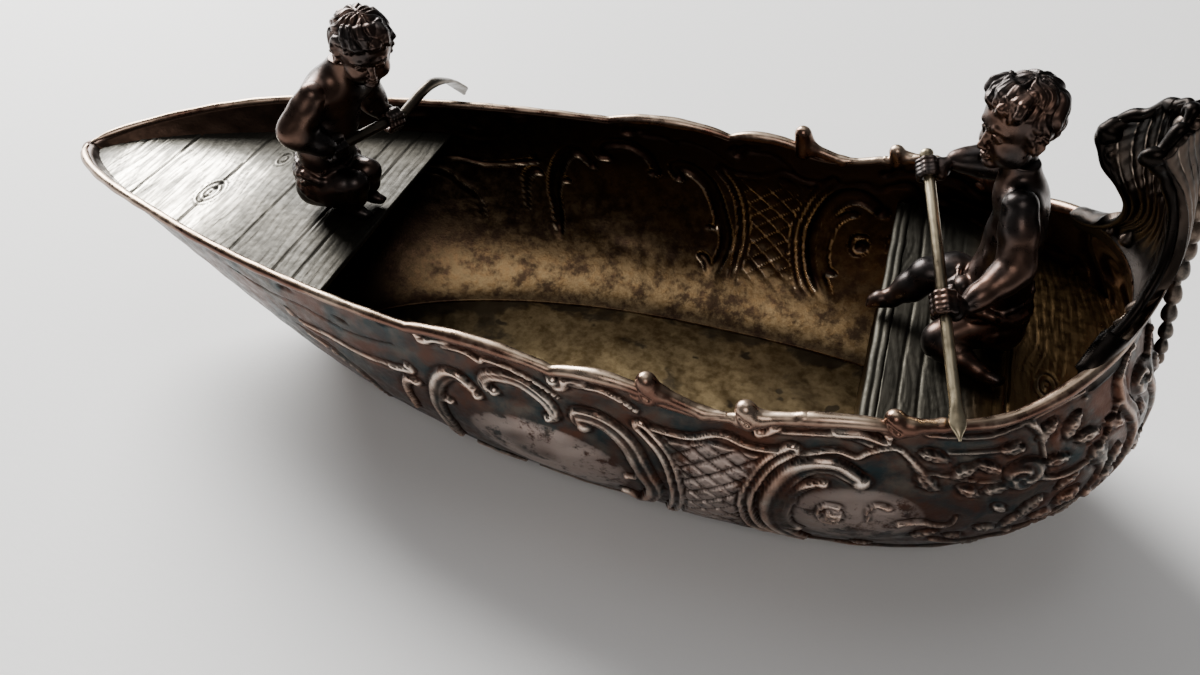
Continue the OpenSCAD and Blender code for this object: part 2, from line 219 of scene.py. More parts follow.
def plan(u, h, inset=0.0):
    """Station and half width of the shell; u is 0 at the bow and 1 at the stern, h 1 at the rim."""
    bow = -43 - 55.5 * h ** 0.88 + 2.6 * inset
    stern = stern_reach(h) - inset
    s = clamp(u / BOW_SHARE)
    t = np.sin(clamp((u - BOW_SHARE) / (1 - BOW_SHARE)) * np.pi / 2)
    x = np.where(u < BOW_SHARE, bow + (MID_X - bow) * s, MID_X + (stern - MID_X) * t)
    y = np.where(u < BOW_SHARE, np.sin(np.pi / 2 * s ** 0.716) ** 0.964, np.sqrt(clamp(1 - t ** ROUNDNESS)))
    return x, y * (half_width(h) - inset)


def sheer(x):
    """Height of the rim without its waves."""
    fall = 5 * clamp(1 - (x + BOW_REACH) / 35) ** 1.5
    return RIM_HEIGHT - fall + 3.5 * ease(45, 75, x) + 6.5 * ease(80, 100, x)


def crest(x, a, b, lift):
    """One wave of the rim, from a to b."""
    return lift * np.sin(np.pi * clamp((x - a) / (b - a))) ** 0.7


def rim_height(x, lag):
    """Height of the waved rim; its waves lie further aft by lag on the starboard side."""
    return (sheer(x) + crest(x, -7 + lag, 18 + lag, 1.5) + crest(x, 18 + lag, 34 + lag * 0.9, 1.5)
            - crest(x, 33.5 + lag * 0.9, 47 + lag, 0.9) + crest(x, 49 + lag, 67 + lag, 1.3))


def smooth(points, per):
    """A smooth line through the points, with per steps between two of them."""
    p = np.array(points, float)
    p = np.concatenate([p[:1], p, p[-1:]])
    t = (np.arange(per) / per)[None, :, None]
    a, b, c, d = (p[k:len(p) - 3 + k, None] for k in range(4))
    line = 0.5 * (2 * b + (c - a) * t + (2 * a - 5 * b + 4 * c - d) * t ** 2
                  + (3 * b - a - 3 * c + d) * t ** 3)
    return np.concatenate([line.reshape(-1, p.shape[1]), p[-1:]])


def near_line(q, line):
    """Distance from each point of q to the line, its side (+-1), and the share of the line passed."""
    best = np.full(len(q), 1e9)
    side = np.ones(len(q))
    passed = np.zeros(len(q))
    for i in range(len(line) - 1):
        way = line[i + 1] - line[i]
        t = clamp(((q - line[i]) @ way) / max(1e-9, way @ way))
        off = q - line[i] - t[:, None] * way
        d = np.sqrt((off ** 2).sum(1))
        closer = d < best
        best[closer] = d[closer]
        side[closer] = np.sign(way[0] * off[:, 1] - way[1] * off[:, 0])[closer]
        passed[closer] = ((i + t) / (len(line) - 1))[closer]
    return best, side, passed


# Ornament, laid out flat: (distance along the boat, distance below the rim) in mm.
# Each stroke is its form, half width, height, ball at its start, ball at its end, and its points.
# Its form is c for a grooved C scroll, t for a stroke that tapers, e for an even bead, d for a band
# with two raised edges, or v for a sunk line.
SCROLLS = (
    ("c", 1.05, 0.95, 1, 0, ((4, 11.3), (2.9, 9.6), (1.6, 8.3), (-.5, 8.9), (-3.3, 11.7), (-6.2, 16.1),
                             (-8.4, 20.7), (-9.5, 25), (-11, 29), (-12.1, 32.2))),
    ("t", 0.7, 0.6, 1, 0, ((-3.3, 16.2), (-4.6, 16.6), (-6, 17.4))),
    ("t", 0.7, 0.6, 0, 0, ((-9.7, 34.5), (-5.3, 34.4), (1.9, 34))),
    ("c", 0.95, 0.9, 1, 1, ((8, 8.6), (6.6, 8.7), (6.4, 7.1), (8.2, 5.3), (10.6, 4.6), (13.2, 4.5),
                            (15.4, 5.5), (17, 7), (17.9, 8.8), (18.2, 10.4), (17.1, 10.9))),
    ("c", 1.35, 1.0, 1, 0, ((23, 10.5), (22, 9.3), (22.4, 8.2), (24.7, 8), (27.1, 8.9), (29.3, 10.8),
                            (31, 13.6), (32.9, 18.4), (34.5, 22.5), (34.3, 26.7), (32, 31.5),
                            (29.8, 28.8), (28.2, 28.2))),
    ("t", 0.65, 0.6, 0, 1, ((32, 18.8), (31.5, 21), (29.8, 21.3))),
    ("e", 0.6, 0.6, 0, 1, ((-13.6, 13.2), (-12.3, 13.1), (-10.6, 12.6), (-8.5, 12), (-8.8, 10.9))),
    ("t", 0.95, 0.75, 1, 0, ((-9.4, 14.8), (-11.2, 15.2), (-13.4, 17.4), (-15.2, 21), (-17.3, 25.9))),
    ("t", 0.5, 0.4, 0, 0, ((-13.2, 13.2), (-21.3, 14.3), (-26.5, 13.3), (-33.3, 13.9), (-34.5, 11.1))),
    ("v", 0.4, -0.35, 0, 0, ((-34.5, 12.1), (-33, 15), (-26.5, 14.4), (-21.3, 15.4), (-14.2, 14.5))),
    ("v", 0.45, -0.4, 0, 0, ((-37.4, 16.9), (-31.9, 17.6), (-29.9, 21.2), (-28, 25.1), (-32.2, 35))),
    ("t", 0.5, 0.35, 0, 0, ((-36.4, 18.6), (-33, 19.6), (-31.4, 22.6), (-30, 26), (-34, 36))),
    ("v", 0.55, -0.5, 0, 0, ((-29.8, 3.5), (-26.6, 2.7))),
    ("v", 0.55, -0.5, 0, 0, ((-19.3, 5.3), (-17.6, 5.7))),
    ("v", 0.5, -0.45, 0, 0, ((-9.4, 2), (-6.5, 1.1))),
    ("v", 0.3, -0.25, 0, 0, ((-44, 6), (-36, 7.5), (-27, 7), (-18, 8.4), (-9, 6.4))),
    ("v", 0.5, -0.45, 0, 0, ((1.9, 35.2), (10.8, 34.5), (23.9, 34.4))),
    ("e", 0.5, 0.45, 0, 0, ((4, 36.4), (12, 35.8), (24, 35.6), (30, 36.6))),
    ("d", 1.25, 0.8, 0, 0, ((32.2, 6.9), (35, 10), (37, 14), (38.2, 19.4), (38.6, 24.8), (37.7, 33.1))),
    ("e", 0.5, 0.6, 0, 0, ((32, 6.7), (35.9, 7), (40.6, 6.7), (44, 4.9), (46, 4.7), (48.7, 5.7),
                           (52.3, 5.9), (55.5, 5.2))),
    ("d", 1.25, 0.8, 0, 0, ((55.5, 5.2), (52.1, 8.7), (49.9, 13.6), (49, 18.8), (50.4, 25.1),
                            (53.3, 30.5), (57.9, 34.6))),
    ("c", 1.55, 1.1, 1, 0, ((65.1, 11.4), (63.5, 9.9), (61.4, 8.4), (58.6, 8.3), (55.9, 10),
                            (53.7, 14), (52.8, 19.2), (54, 24.6), (56.9, 29.3), (62, 35.1))),
    ("c", 0.85, 0.75, 1, 0, ((59.9, 12.3), (57.7, 13.2), (55.9, 15.4), (55.2, 18.8), (55.4, 22.6),
                             (56.9, 26), (59, 26.9))),
    ("t", 0.55, 0.5, 1, 0, ((62.4, 17.7), (60.7, 17.6), (59.9, 19.2), (60.6, 21.6), (62.2, 22.3),
                            (63.6, 21.4))),
    ("t", 0.5, 0.45, 0, 0, ((69.4, 17.4), (67.7, 16.5), (66.7, 18), (67.2, 20.9))),
    ("e", 0.45, 0.5, 0, 0, ((56.6, 6.1), (61.7, 4.9), (64.6, 6.1), (66.6, 5), (70.4, 4.2),
                            (71.9, 5.9), (73.3, 8.4), (74.5, 10.9), (75.7, 13))),
    ("t", 0.4, 0.4, 0, 0, ((72.5, 7.1), (73.4, 9.3), (76.6, 10.1), (81.6, 11.7), (85.1, 12))),
    ("t", 0.6, 0.5, 1, 0, ((71.6, 21.4), (74.6, 21.2), (76.7, 22.2), (79.1, 22.6), (79.6, 20.2))),
    ("e", 0.45, 0.4, 0, 0, ((75.4, 1.7), (82.6, 2.6), (87.9, 1.9), (93.1, 1), (99.2, 1.4))),
    ("e", 0.4, 0.35, 0, 0, ((77.8, 5.4), (85.1, 5.6), (88.4, 4.8))),
    ("t", 0.6, 0.55, 1, 0, ((90.9, 2.2), (91.9, 5), (91.7, 6.9), (91.7, 9.4))),
    ("t", 0.5, 0.5, 0, 1, ((88.7, 11.6), (93, 14.6), (98, 15.2), (101.6, 12.6), (104.5, 8))),
    ("t", 0.5, 0.5, 0, 1, ((100.4, 15.4), (101.6, 20), (99.8, 24.8), (95, 27.6), (90, 27.2))),
    ("c", 1.0, 0.8, 1, 1, ((109.6, 1.2), (106.2, 3.8), (105.7, 8.2), (107.8, 13), (108.6, 18),
                           (106.6, 23), (103.4, 26.2), (101, 25))),
    ("c", 0.9, 0.75, 1, 0, ((117.6, 4.4), (114.6, 6.4), (114.4, 11), (116.6, 17), (117, 24),
                            (114, 31), (108, 36))),
    ("t", 0.5, 0.5, 0, 0, ((79, 28.6), (84, 30.8), (89, 30.2), (95, 31.6), (101, 31), (107, 33))),
    ("e", 0.8, 0.6, 0, 0, ((56, 37.5), (61, 36.6), (66.7, 37.4), (72, 36.8), (77, 38), (84, 37.2),
                           (92, 38.4), (100, 38), (108, 40), (116, 41.5))),
)
# Strokes that spring from the waves of the rim and lie further aft with them to starboard.
RIM_SCROLLS = (
    ("t", 0.95, 0.85, 0, 1, ((2.4, .2), (.3, .6), (-.9, 1.8), (-2, 1.7), (-1.9, .5))),
    ("t", 0.5, 0.5, 0, 0, ((1.6, 1.8), (5.4, 1.6), (7.4, 2.6), (8.4, 1.8), (12, 2), (16, 3.4),
                           (19.6, 5.6))),
    ("t", 1.05, 0.95, 0, 1, ((23.4, .2), (21.4, .6), (20.8, 2.6), (19.7, 3), (19.3, 1.9))),
    ("t", 0.55, 0.6, 0, 0, ((21.8, 1.6), (24.2, 1.5), (26.7, 1.4), (29.2, 2.3), (31.9, 4.2))),
    ("t", 0.9, 0.8, 0, 1, ((53.4, .9), (52.9, 1.6), (51.9, 2.4), (50.9, 2.5))),
    ("t", 0.9, 0.8, 0, 1, ((62.2, .9), (65.5, 1.2), (67.7, 2.3), (69.4, 3), (69.8, 1.6))),
    ("e", 0.5, 0.45, 0, 0, ((54, 1.8), (57.9, 1.5), (62.2, 1.6), (65, 2.4), (67, 3.6))),
)
LEAVES = (  # along, below the rim, length, turn in degrees
    (75.7, 6.2, 2.5, 20), (74.3, 11.6, 2.6, 62), (79.8, 9.4, 2.3, -28), (83.3, 8.8, 2.4, 30),
    (80.2, 13.8, 2.2, 35), (84.3, 13.6, 2.3, -20), (90.5, 19.9, 2.6, -55), (85.1, 24.2, 2.0, 15),
    (88.5, 22.8, 2.2, -60), (87.2, 5.9, 2.2, 10), (92.9, 4.6, 2.3, -35), (96.5, 6.3, 2.6, -50),
    (100.6, 15.6, 3.4, 65), (103.6, 11.2, 2.6, 40), (93.4, 11.2, 2.3, 20), (95.5, 17.1, 2.4, -30),
    (85.4, 18.4, 1.7, 40), (98.6, 9.8, 2.5, 15), (76.5, 25.6, 2.2, -20), (81.6, 27, 2.0, 25),
    (93.6, 24.6, 2.4, 20), (99.4, 28.6, 2.4, -35), (104.2, 18.8, 2.6, -70), (110.6, 14.2, 2.4, 60),
    (111.8, 22.4, 2.6, -60), (106.6, 29.6, 2.4, 30), (113.2, 28, 2.3, 70), (119, 12, 2.4, 80),
    (120, 21, 2.4, -80), (88.2, 33.6, 2.0, 10), (70.4, 33.2, 1.9, -10), (96, 34.6, 2.0, -12),
)
ROSES = (  # along, below the rim, radius
    (62.1, 20.0, 1.5), (88.6, 11.6, 3.1), (96.4, 21.7, 2.0), (111.4, 8.6, 2.9), (108.8, 20.6, 2.1),
    (103.2, 22.6, 1.9), (103.4, 34.6, 2.0),
)
FIELDS = (  # shallow bulges within the large scrolls: along, below, half length, half height, lift
    (11.6, 20.6, 18.5, 11.2, 1.1), (67.5, 21, 12.5, 11, 0.7), (43.8, 19, 8, 13, 0.5),
)


def relief(q, lag):
    """Height of the chasing at points q, (along, below the rim), for one side of the boat."""
    raised = np.zeros(len(q))
    sunk = np.zeros(len(q))
    lagged = [(*row[:5], [(a + lag, b) for a, b in row[5]]) for row in RIM_SCROLLS]
    # Strokes, each with the ground round it punched down
    for form, wide, high, ball_first, ball_last, points in (*SCROLLS, *lagged):
        line = smooth(points, 7)
        reach = wide * 1.6 + 1.6
        inside = ((q > line.min(0) - reach) & (q < line.max(0) + reach)).all(1)
        d, side, t = near_line(q[inside], line)
        w = wide * {"c": 0.55 + 0.68 * np.sin(np.pi * clamp(t)) ** 0.6, "e": 1.0 + 0 * t,
                    "d": 1.0 + 0 * t, "t": 1.05 - 0.7 * t, "v": 0.35 + 0.65 * np.sin(np.pi * t) ** 0.5}[form]
        r = d / w
        body = high * clamp(1 - r ** (3.2 if form == "c" else 2.4)) ** 0.6
        if form == "d":
            body = high * (clamp(1 - ((r - 0.62) / 0.4) ** 2) ** 0.7)
        if form == "c":
            body = body * (0.86 + 0.14 * side * r) - high * 0.34 * np.exp(-((side * r + 0.22) / 0.2) ** 2)
        for k, at in ((ball_first, 0), (ball_last, -1)):
            if k:
                ball = np.sqrt(((q[inside] - line[at]) ** 2).sum(1)) / (max(wide * 0.98, 0.7))
                body = np.maximum(body, (high + 0.15) * clamp(1 - ball ** 2) ** 0.5)
        if form == "v":
            sunk[inside] = np.minimum(sunk[inside], body)
        else:
            raised[inside] = np.maximum(raised[inside], body)
            moat = -0.42 * high * np.exp(-((d - w) / 0.42) ** 2) * (d > w * 0.8)
            sunk[inside] = np.minimum(sunk[inside], moat)
    # Leaves, with a sunk midrib and slanting veins
    for a, b, size, turn in LEAVES:
        c, s = math.cos(math.radians(turn)), math.sin(math.radians(turn))
        near = (np.abs(q - (a, b)) < size * 1.4).all(1)
        p = q[near] - (a, b)
        x = (p[:, 0] * c + p[:, 1] * s) / size
        y = (p[:, 1] * c - p[:, 0] * s) / size
        edge = 0.46 * clamp(1 - x * x) ** 1.1 * (1 + 0.16 * np.sin(x * 11))
        inner = clamp(1 - np.abs(y) / np.maximum(edge, 0.02))
        leaf = 0.72 * inner ** 0.6 - 0.4 * np.exp(-(y / 0.07) ** 2) * (inner > 0.1)
        leaf -= 0.12 * np.sin((np.abs(y) * 1.2 - x) * 16) * inner
        raised[near] = np.maximum(raised[near], leaf)
        ring = -0.3 * np.exp(-((np.abs(y) - edge - 0.1) / 0.16) ** 2) * (np.abs(x) < 1.05)
        sunk[near] = np.minimum(sunk[near], ring)
    # Roses, whose petals wind round the middle
    for a, b, size in ROSES:
        near = (np.abs(q - (a, b)) < size * 1.5).all(1)
        p = (q[near] - (a, b)) / size
        r = np.sqrt((p ** 2).sum(1))
        turn = np.arctan2(p[:, 1], p[:, 0])
        rose = 1.1 * clamp(1 - r ** 2.4) ** 0.6 * (0.72 + 0.28 * np.cos(2.5 * turn + 9 * r))
        rose -= 0.4 * np.exp(-(r / 0.16) ** 2)
        raised[near] = np.maximum(raised[near], rose)
        sunk[near] = np.minimum(sunk[near], -0.35 * np.exp(-((r - 1.08) / 0.1) ** 2))
    # A trellis of padded diamonds, between two bands and below a waved line
    left = np.interp(q[:, 1], [6, 10, 14, 19.4, 24.8, 33, 36], [33.6, 36.4, 38.4, 39.6, 40, 39.2, 39])
    right = np.interp(q[:, 1], [6, 8.7, 13.6, 18.8, 25.1, 30.5, 36], [52, 50.6, 48.5, 47.6, 48.9, 51.6, 56])
    roof = np.interp(q[:, 0], [34, 40, 44, 48, 52], [8.2, 7.9, 6.2, 7, 7.4])
    inside = clamp(np.minimum.reduce([q[:, 0] - left, right - q[:, 0], q[:, 1] - roof, 36 - q[:, 1]]) / 0.3)
    bars = [np.abs(((q[:, 0] * 0.62 + k * q[:, 1] * 0.78) / 2.75 + 50.3) % 1 - 0.5) for k in (1, -1)]
    pad = clamp((0.5 - np.maximum(*bars)) / 0.11)
    raised = np.maximum(raised, inside * 0.52 * pad ** 0.7)
    sunk = np.minimum(sunk, -0.28 * inside * (1 - pad))
    for a, b, long, tall, lift in FIELDS:
        r = ((q[:, 0] - a) / long) ** 2 + ((q[:, 1] - b) / tall) ** 2
        sunk = sunk + lift * clamp(1 - r) ** 1.5
    high = np.where(raised > 0.02, np.maximum(raised + np.maximum(sunk, 0), sunk), sunk)
    ripple = np.sin(q[:, 0] * 0.9 + np.sin(q[:, 1] * 0.7)) + np.sin(q[:, 1] * 1.3 + q[:, 0] * 0.4)
    return high + 0.035 * ripple


def two_skins(columns, rows):
    """Faces of a closed sheet whose first skin is a grid of points and whose second repeats it."""
    k = np.arange(columns * rows).reshape(columns, rows)
    n = columns * rows
    a, b, c, d = (k[:-1, :-1], k[:-1, 1:], k[1:, 1:], k[1:, :-1])
    skin = np.stack([a, b, c, d], -1).reshape(-1, 4)
    faces = [skin, skin[:, ::-1] + n]
    for edge in (k[:, 0], k[::-1, -1], k[0, ::-1], k[-1, :]):
        faces.append(np.stack([edge[:-1], edge[1:], edge[1:] + n, edge[:-1] + n], -1))
    return np.concatenate(faces)


def new_piece(name, points, faces, finish):
    """A closed mesh from points in mm, turned so that its faces look outwards."""
    corners = [points[faces[:, k]] for k in range(faces.shape[1])]
    volume = sum((corners[0] * np.cross(corners[k], corners[k + 1])).sum()
                 for k in range(1, len(corners) - 1))
    if volume < 0:
        faces = faces[:, ::-1]
    mesh = bpy.data.meshes.new(name)
    mesh.vertices.add(len(points))
    mesh.vertices.foreach_set("co", (points * 0.001).astype(np.float32).ravel())
    mesh.loops.add(faces.size)
    mesh.loops.foreach_set("vertex_index", faces.astype(np.int32).ravel())
    mesh.polygons.add(len(faces))
    mesh.polygons.foreach_set("loop_start", np.arange(0, faces.size, faces.shape[1], dtype=np.int32))
    mesh.polygons.foreach_set("use_smooth", np.full(len(faces), True))
    mesh.update(calc_edges=True)
    mesh.materials.append(finish)
    piece = bpy.data.objects.new(name, mesh)
    bpy.context.scene.collection.objects.link(piece)
    return piece


def mark(piece, channels):
    """Stores the four marks of wear at every point, which on the decks and inside the hull also carry painted
    light and shade.
    """
    layer = piece.data.attributes.new("patina_and_painted_light", "FLOAT_COLOR", "POINT")
    layer.data.foreach_set("color", np.clip(channels, 0, 1).astype(np.float32).ravel())


def blurred(grid, times):
    for _ in range(times):
        wide = np.pad(grid, 1, mode="edge")
        grid = (wide[:-2, 1:-1] + wide[2:, 1:-1] + wide[1:-1, :-2] + wide[1:-1, 2:] + 2 * grid) / 6
    return grid


embossed_silver, tree, shader, place = new_finish("embossed_silver")
rub, cavity, gild, inside = wear(tree)  # outside, the third mark is where the ground is worn bare
cloud = noise(tree, place, 230, 5, 0.65)
fine = noise(tree, place, 620, 4, 0.7)
tarnish = tint(tree, spread(tree, cloud, 0.36, 0.66), (0.020, 0.031, 0.034), (0.074, 0.062, 0.052))
brown = spread(tree, noise(tree, place, 150, 5, 0.6, 0.4), 0.37, 0.66)
tarnish = tint(tree, brown, tarnish, (0.072, 0.031, 0.020))
worn = sums(tree, "MULTIPLY_ADD", fine, 0.35)
worn.node.inputs[2].default_value = -0.17
worn = sums(tree, "ADD", worn, rub)
polish = tint(tree, brown, (0.66, 0.545, 0.46), (0.58, 0.385, 0.29))
outer = tint(tree, spread(tree, worn, 0.12, 0.95), tarnish, polish)
bare = sums(tree, "MULTIPLY", gild, spread(tree, noise(tree, place, 170, 7, 0.72), 0.40, 0.50))
outer = tint(tree, bare, outer, (0.44, 0.355, 0.315))
flakes = spread(tree, noise(tree, place, 210, 8, 0.7), 0.38, 0.57, 0.10, 1.0)
# Inside, the third mark is the gilding, which fades out towards the bow as a painted shade of the foredeck.
gold_share = sums(tree, "MULTIPLY", gild, flakes)
gold = tint(tree, spread(tree, fine, 0.35, 0.7), (0.17, 0.11, 0.052), (0.38, 0.275, 0.145))
inner = tint(tree, gold_share, (0.036, 0.022, 0.016), gold)
inner = tint(tree, spread(tree, worn, 0.2, 0.9), inner, (0.60, 0.47, 0.33))
colour = tint(tree, inside, outer, inner)
colour = tint(tree, cavity, colour, (0.022, 0.011, 0.008))
gloss = spread(tree, fine, 0.3, 0.7, 0.25, 0.42)
gloss = sums(tree, "ADD", gloss, spread(tree, rub, 0.0, 0.7, 0.06, -0.06))
pits = sums(tree, "ADD", fine, sums(tree, "MULTIPLY", noise(tree, place, 2300, 2), 0.5))
metal(tree, shader, colour, gloss, pits, 0.5, 0.00009)

BOW_END, STERN_END = -94.9, 122.6  # ends of the rim, measured along it from amidships
along = np.concatenate([np.linspace(BOW_END, -15, 112)[:-1], np.linspace(-15, STERN_END, 308)])
share = np.concatenate([np.linspace(0, 0.84, 104)[:-1], np.linspace(0.84, 1, 13)])


def half_shell(lag, shift):
    """Outer and inner points and marks of the starboard half; shift moves the ornament forwards."""
    # Stations, spaced along the curved wall
    u = np.linspace(0, 1, 1601)
    x, y = plan(u, np.full(1601, 0.75))
    way = np.concatenate([[0], np.cumsum(np.hypot(np.diff(x), np.diff(y)))])
    way += MID_X - np.interp(MID_X, x[:1200], way[:1200])
    scale = (way - way[0]) / (way[-1] - way[0]) * (STERN_END - BOW_END) + BOW_END
    u = np.interp(along, scale, u)[:, None]
    u[0], u[-1] = 0, 1
    # Heights at each station, spaced down the wall, and how far each lies below the rim
    h = np.linspace(0, 1, 301)[None, :]
    x, y = plan(u + 0 * h, h + 0 * u)
    rim_x = plan(u, 1 + 0 * u)[0]
    steps = np.sqrt(np.diff(x, axis=1) ** 2 + np.diff(y, axis=1) ** 2
                    + np.diff(h * sheer(rim_x), axis=1) ** 2)
    girth = np.concatenate([np.cumsum(steps[:, ::-1], 1)[:, ::-1], np.zeros((len(u), 1))], 1)
    hs = np.array([np.interp(share * row[0], row[::-1], h[0, ::-1]) for row in girth])
    tops = rim_height(rim_x, lag)
    nominal = hs * tops / sheer(rim_x)
    below = np.array([np.interp(nominal[i], h[0], girth[i]) for i in range(len(u))])
    below -= np.maximum(nominal - 1, 0) * 38
    # The relief fades out at the rim, at the floor and at the soldered ends
    high = relief(np.stack([along[:, None] + shift + 0 * hs, below], -1).reshape(-1, 2), lag + shift)
    high = high.reshape(hs.shape)
    high *= ease(0, 1.2, below) * 0.85 + 0.15
    high *= ease(0, 0.05, hs) * ease(0, 1.2, (along - along[0]))[:, None]
    high *= ease(0, 1.5, (along[-1] - along))[:, None] * 0.85 + 0.15
    # The outside, then the inside, which shows a softer copy of the relief
    skins = []
    for inset in (0.0, SHEET):
        x, y = plan(u + 0 * hs, hs, inset)
        z = inset + hs * (tops - inset)
        p = np.stack([x, y, z], -1)
        out = np.cross(np.gradient(p, axis=1), np.gradient(p, axis=0))
        out /= np.maximum(1e-9, np.linalg.norm(out, axis=2, keepdims=True))
        out *= np.sign((out[200, 60, 1]))
        out[-1, :, 1] = 0
        out[0, :, 1] = 0
        lift = high if inset == 0 else blurred(high, 2) * 0.9 * ease(34, 28, below)
        skins.append(p + out * lift[..., None])
    # Wear: what stands proud is rubbed, what lies low is dirty, and the fields are worn bare
    soft = blurred(high, 9)
    flats = blurred(high, 40)
    rub = clamp((high - soft) * 1.9 + (high - flats) * 0.7 - 0.12)
    rub *= (1 - 0.35 * ease(66, 76, along))[:, None]
    at = along[:, None]
    large = clamp(1 - ((at - 14) / 16) ** 2 - ((below - 22.5) / 9.5) ** 2) ** 0.3
    small = clamp(1 - ((at - 65) / 10) ** 2 - ((below - 21) / 8) ** 2) ** 0.4
    field = np.maximum(large, 0.85 * small)
    field *= ease(0.5, 0.1, high - 0.8 * field)
    trellis = clamp(1 - ((at - 44) / 6.4) ** 6) * clamp(1 - ((below - 20) / 14) ** 6)
    field = np.maximum(field, 0.75 * trellis * ease(0.2, 0.42, high))
    rub = np.maximum(rub, 0.3 * clamp(1 - below / 0.9))
    cavity = clamp((soft - high) * 5.5 - 0.08)
    outer = np.stack([rub, cavity, field, 0 * rub], -1)
    # Inside, the hollows of the relief stand proud, and the gilding lasts best low down
    high, soft, flats = (grid * ease(34, 28, below) for grid in (high, soft, flats))
    rub_in = clamp((soft - high) * 2.6 - 0.1) * ease(36, 24, skins[1][..., 2])
    gild = 0.24 * ease(32, 22, skins[1][..., 2]) + 0.76 * ease(14, 3, skins[1][..., 2])
    # Towards the bow the gilding fades into the dark ground, a painted shade of the foredeck.
    gild = gild * ease(-44, -18, skins[1][..., 0])
    cave_in = clamp((high - soft) * 3.0 + (high - flats) * 0.8 - 0.1 + 0.8 * ease(3.2, 0.9, skins[1][..., 2]))
    inner = np.stack([rub_in, cave_in, gild, 1 + 0 * rub], -1)
    return skins, np.concatenate([outer.reshape(-1, 4), inner.reshape(-1, 4)])


for node, lag, shift, side in (("hull_port", 0, 0, -1), ("hull_starboard", 11, 4, 1)):
    skins, marks = half_shell(lag, shift)
    points = np.concatenate([s.reshape(-1, 3) for s in skins]) * (1, side, 1)
    hull = new_piece(f"embossed_{node}", points, two_skins(len(along), len(share)), embossed_silver)
    mark(hull, marks)
    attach(hull, "boat")
    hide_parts(node)

# ---- Floor plate
# A flat sheet let in between the two shells and soldered round its edge. It was gilt, and the
# gilding has worn and blackened in patches.
gilt_floor, tree, shader, place = new_finish("gilt_floor")
blotch = noise(tree, place, 62, 5, 0.62, 0.3)
fine = noise(tree, place, 480, 4, 0.7)
gold = tint(tree, spread(tree, fine, 0.32, 0.7), (0.20, 0.14, 0.065), (0.37, 0.275, 0.145))
edge = wear(tree)[0]
black = spread(tree, sums(tree, "ADD", blotch, sums(tree, "MULTIPLY", edge, 0.15)), 0.55, 0.64, 0.0, 0.9)
spots = spread(tree, noise(tree, place, 210, 2, 0.5), 0.66, 0.72)
gold = tint(tree, sums(tree, "MAXIMUM", black, spots), gold, (0.05, 0.040, 0.030))
gold = tint(tree, spread(tree, noise(tree, place, 30, 2), 0.35, 0.7, 0.0, 0.5), gold, (0.20, 0.15, 0.085))
metal(tree, shader, gold, spread(tree, fine, 0.3, 0.7, 0.34, 0.52), fine, 0.4, 0.00012)


def level_half(z, x):
    """Half width of the shell at station x and height z, to the middle of its sheet."""
    u = np.linspace(0.001, 0.9995, 900)
    h = z / sheer(plan(u, 1 + 0 * u)[0])
    px, py = plan(u, h, 0.7 * SHEET)
    return np.interp(x, px, py)


def plate(x, half, top, bottom, rows, height):
    """Points of a level plate between stations x with that half width; height gives its top's relief."""
    across = np.linspace(-1, 1, rows)[None, :]
    px = x[:, None] + 0 * across
    py = half[:, None] * across
    upper = np.stack([px, py, top + height(px, py)], -1)
    lower = np.stack([px, py, bottom + 0 * px], -1)
    return np.concatenate([upper.reshape(-1, 3), lower.reshape(-1, 3)])


FLOOR_COLUMNS = 190
FLOOR_ROWS = 60
x = np.linspace(-42.6, 91.4, FLOOR_COLUMNS)
half = level_half(0.01, x)


def dents(px, py):
    return 0.10 * np.sin(px * 0.21 + np.sin(py * 0.17)) * np.cos(py * 0.23 + 1) \
        + 0.05 * np.sin(px * 0.67 + py * 0.5) - 0.05


points = plate(x, half, SHEET, 0.02, FLOOR_ROWS, dents)
floor_plate = new_piece("floor_plate", points, two_skins(FLOOR_COLUMNS, FLOOR_ROWS), gilt_floor)
edge = ease(6.5, 0.5, np.tile(np.repeat(half, FLOOR_ROWS), 2) - np.abs(points[:, 1]))
mark(floor_plate, np.stack([edge, 0 * edge, 0 * edge, 1 + 0 * edge], -1))
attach(floor_plate, "boat")
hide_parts("base_plate")

# ---- Rims
# A drawn silver wire is soldered along the edge of each shell and swells over the waves of the rim;
# its bulbs are cast and soldered on where one wave runs out over the next.
rim_silver, tree, shader, place = new_finish("rim_silver")
fine = noise(tree, place, 420, 5, 0.65)
worn = sums(tree, "ADD", sums(tree, "MULTIPLY", fine, 0.4), noise(tree, place, 60, 3))
worn = spread(tree, worn, 0.60, 0.84)
colour = tint(tree, worn, (0.14, 0.076, 0.056), (0.50, 0.375, 0.285))
# The rim's colour follows which way each point faces: golden on top, a painted highlight, and dark red-brown
# on the sides and underneath, a painted shade.
up = add(tree, "ShaderNodeSeparateXYZ", [("Vector", add(tree, "ShaderNodeNewGeometry").outputs["Normal"])])
colour = tint(tree, spread(tree, up.outputs["Z"], -0.1, 0.75, 0.75, 0.0), colour, (0.115, 0.056, 0.040))
colour = tint(tree, spread(tree, up.outputs["Z"], 0.7, 0.98, 0.0, 0.5), colour, (0.62, 0.48, 0.34))
metal(tree, shader, colour, spread(tree, fine, 0.3, 0.7, 0.24, 0.42), fine, 0.35, 0.00012)


def node_tree(name, output, **inputs):
    """An empty Geometry Nodes group that gives geometry, and the outputs of its input node."""
    tree = bpy.data.node_groups.new(name, "GeometryNodeTree")
    for label, kind in inputs.items():
        tree.interface.new_socket(label, in_out="INPUT", socket_type=f"NodeSocket{kind}")
    tree.interface.new_socket(output, in_out="OUTPUT", socket_type="NodeSocketGeometry")
    return tree, tree.nodes.new("NodeGroupInput").outputs


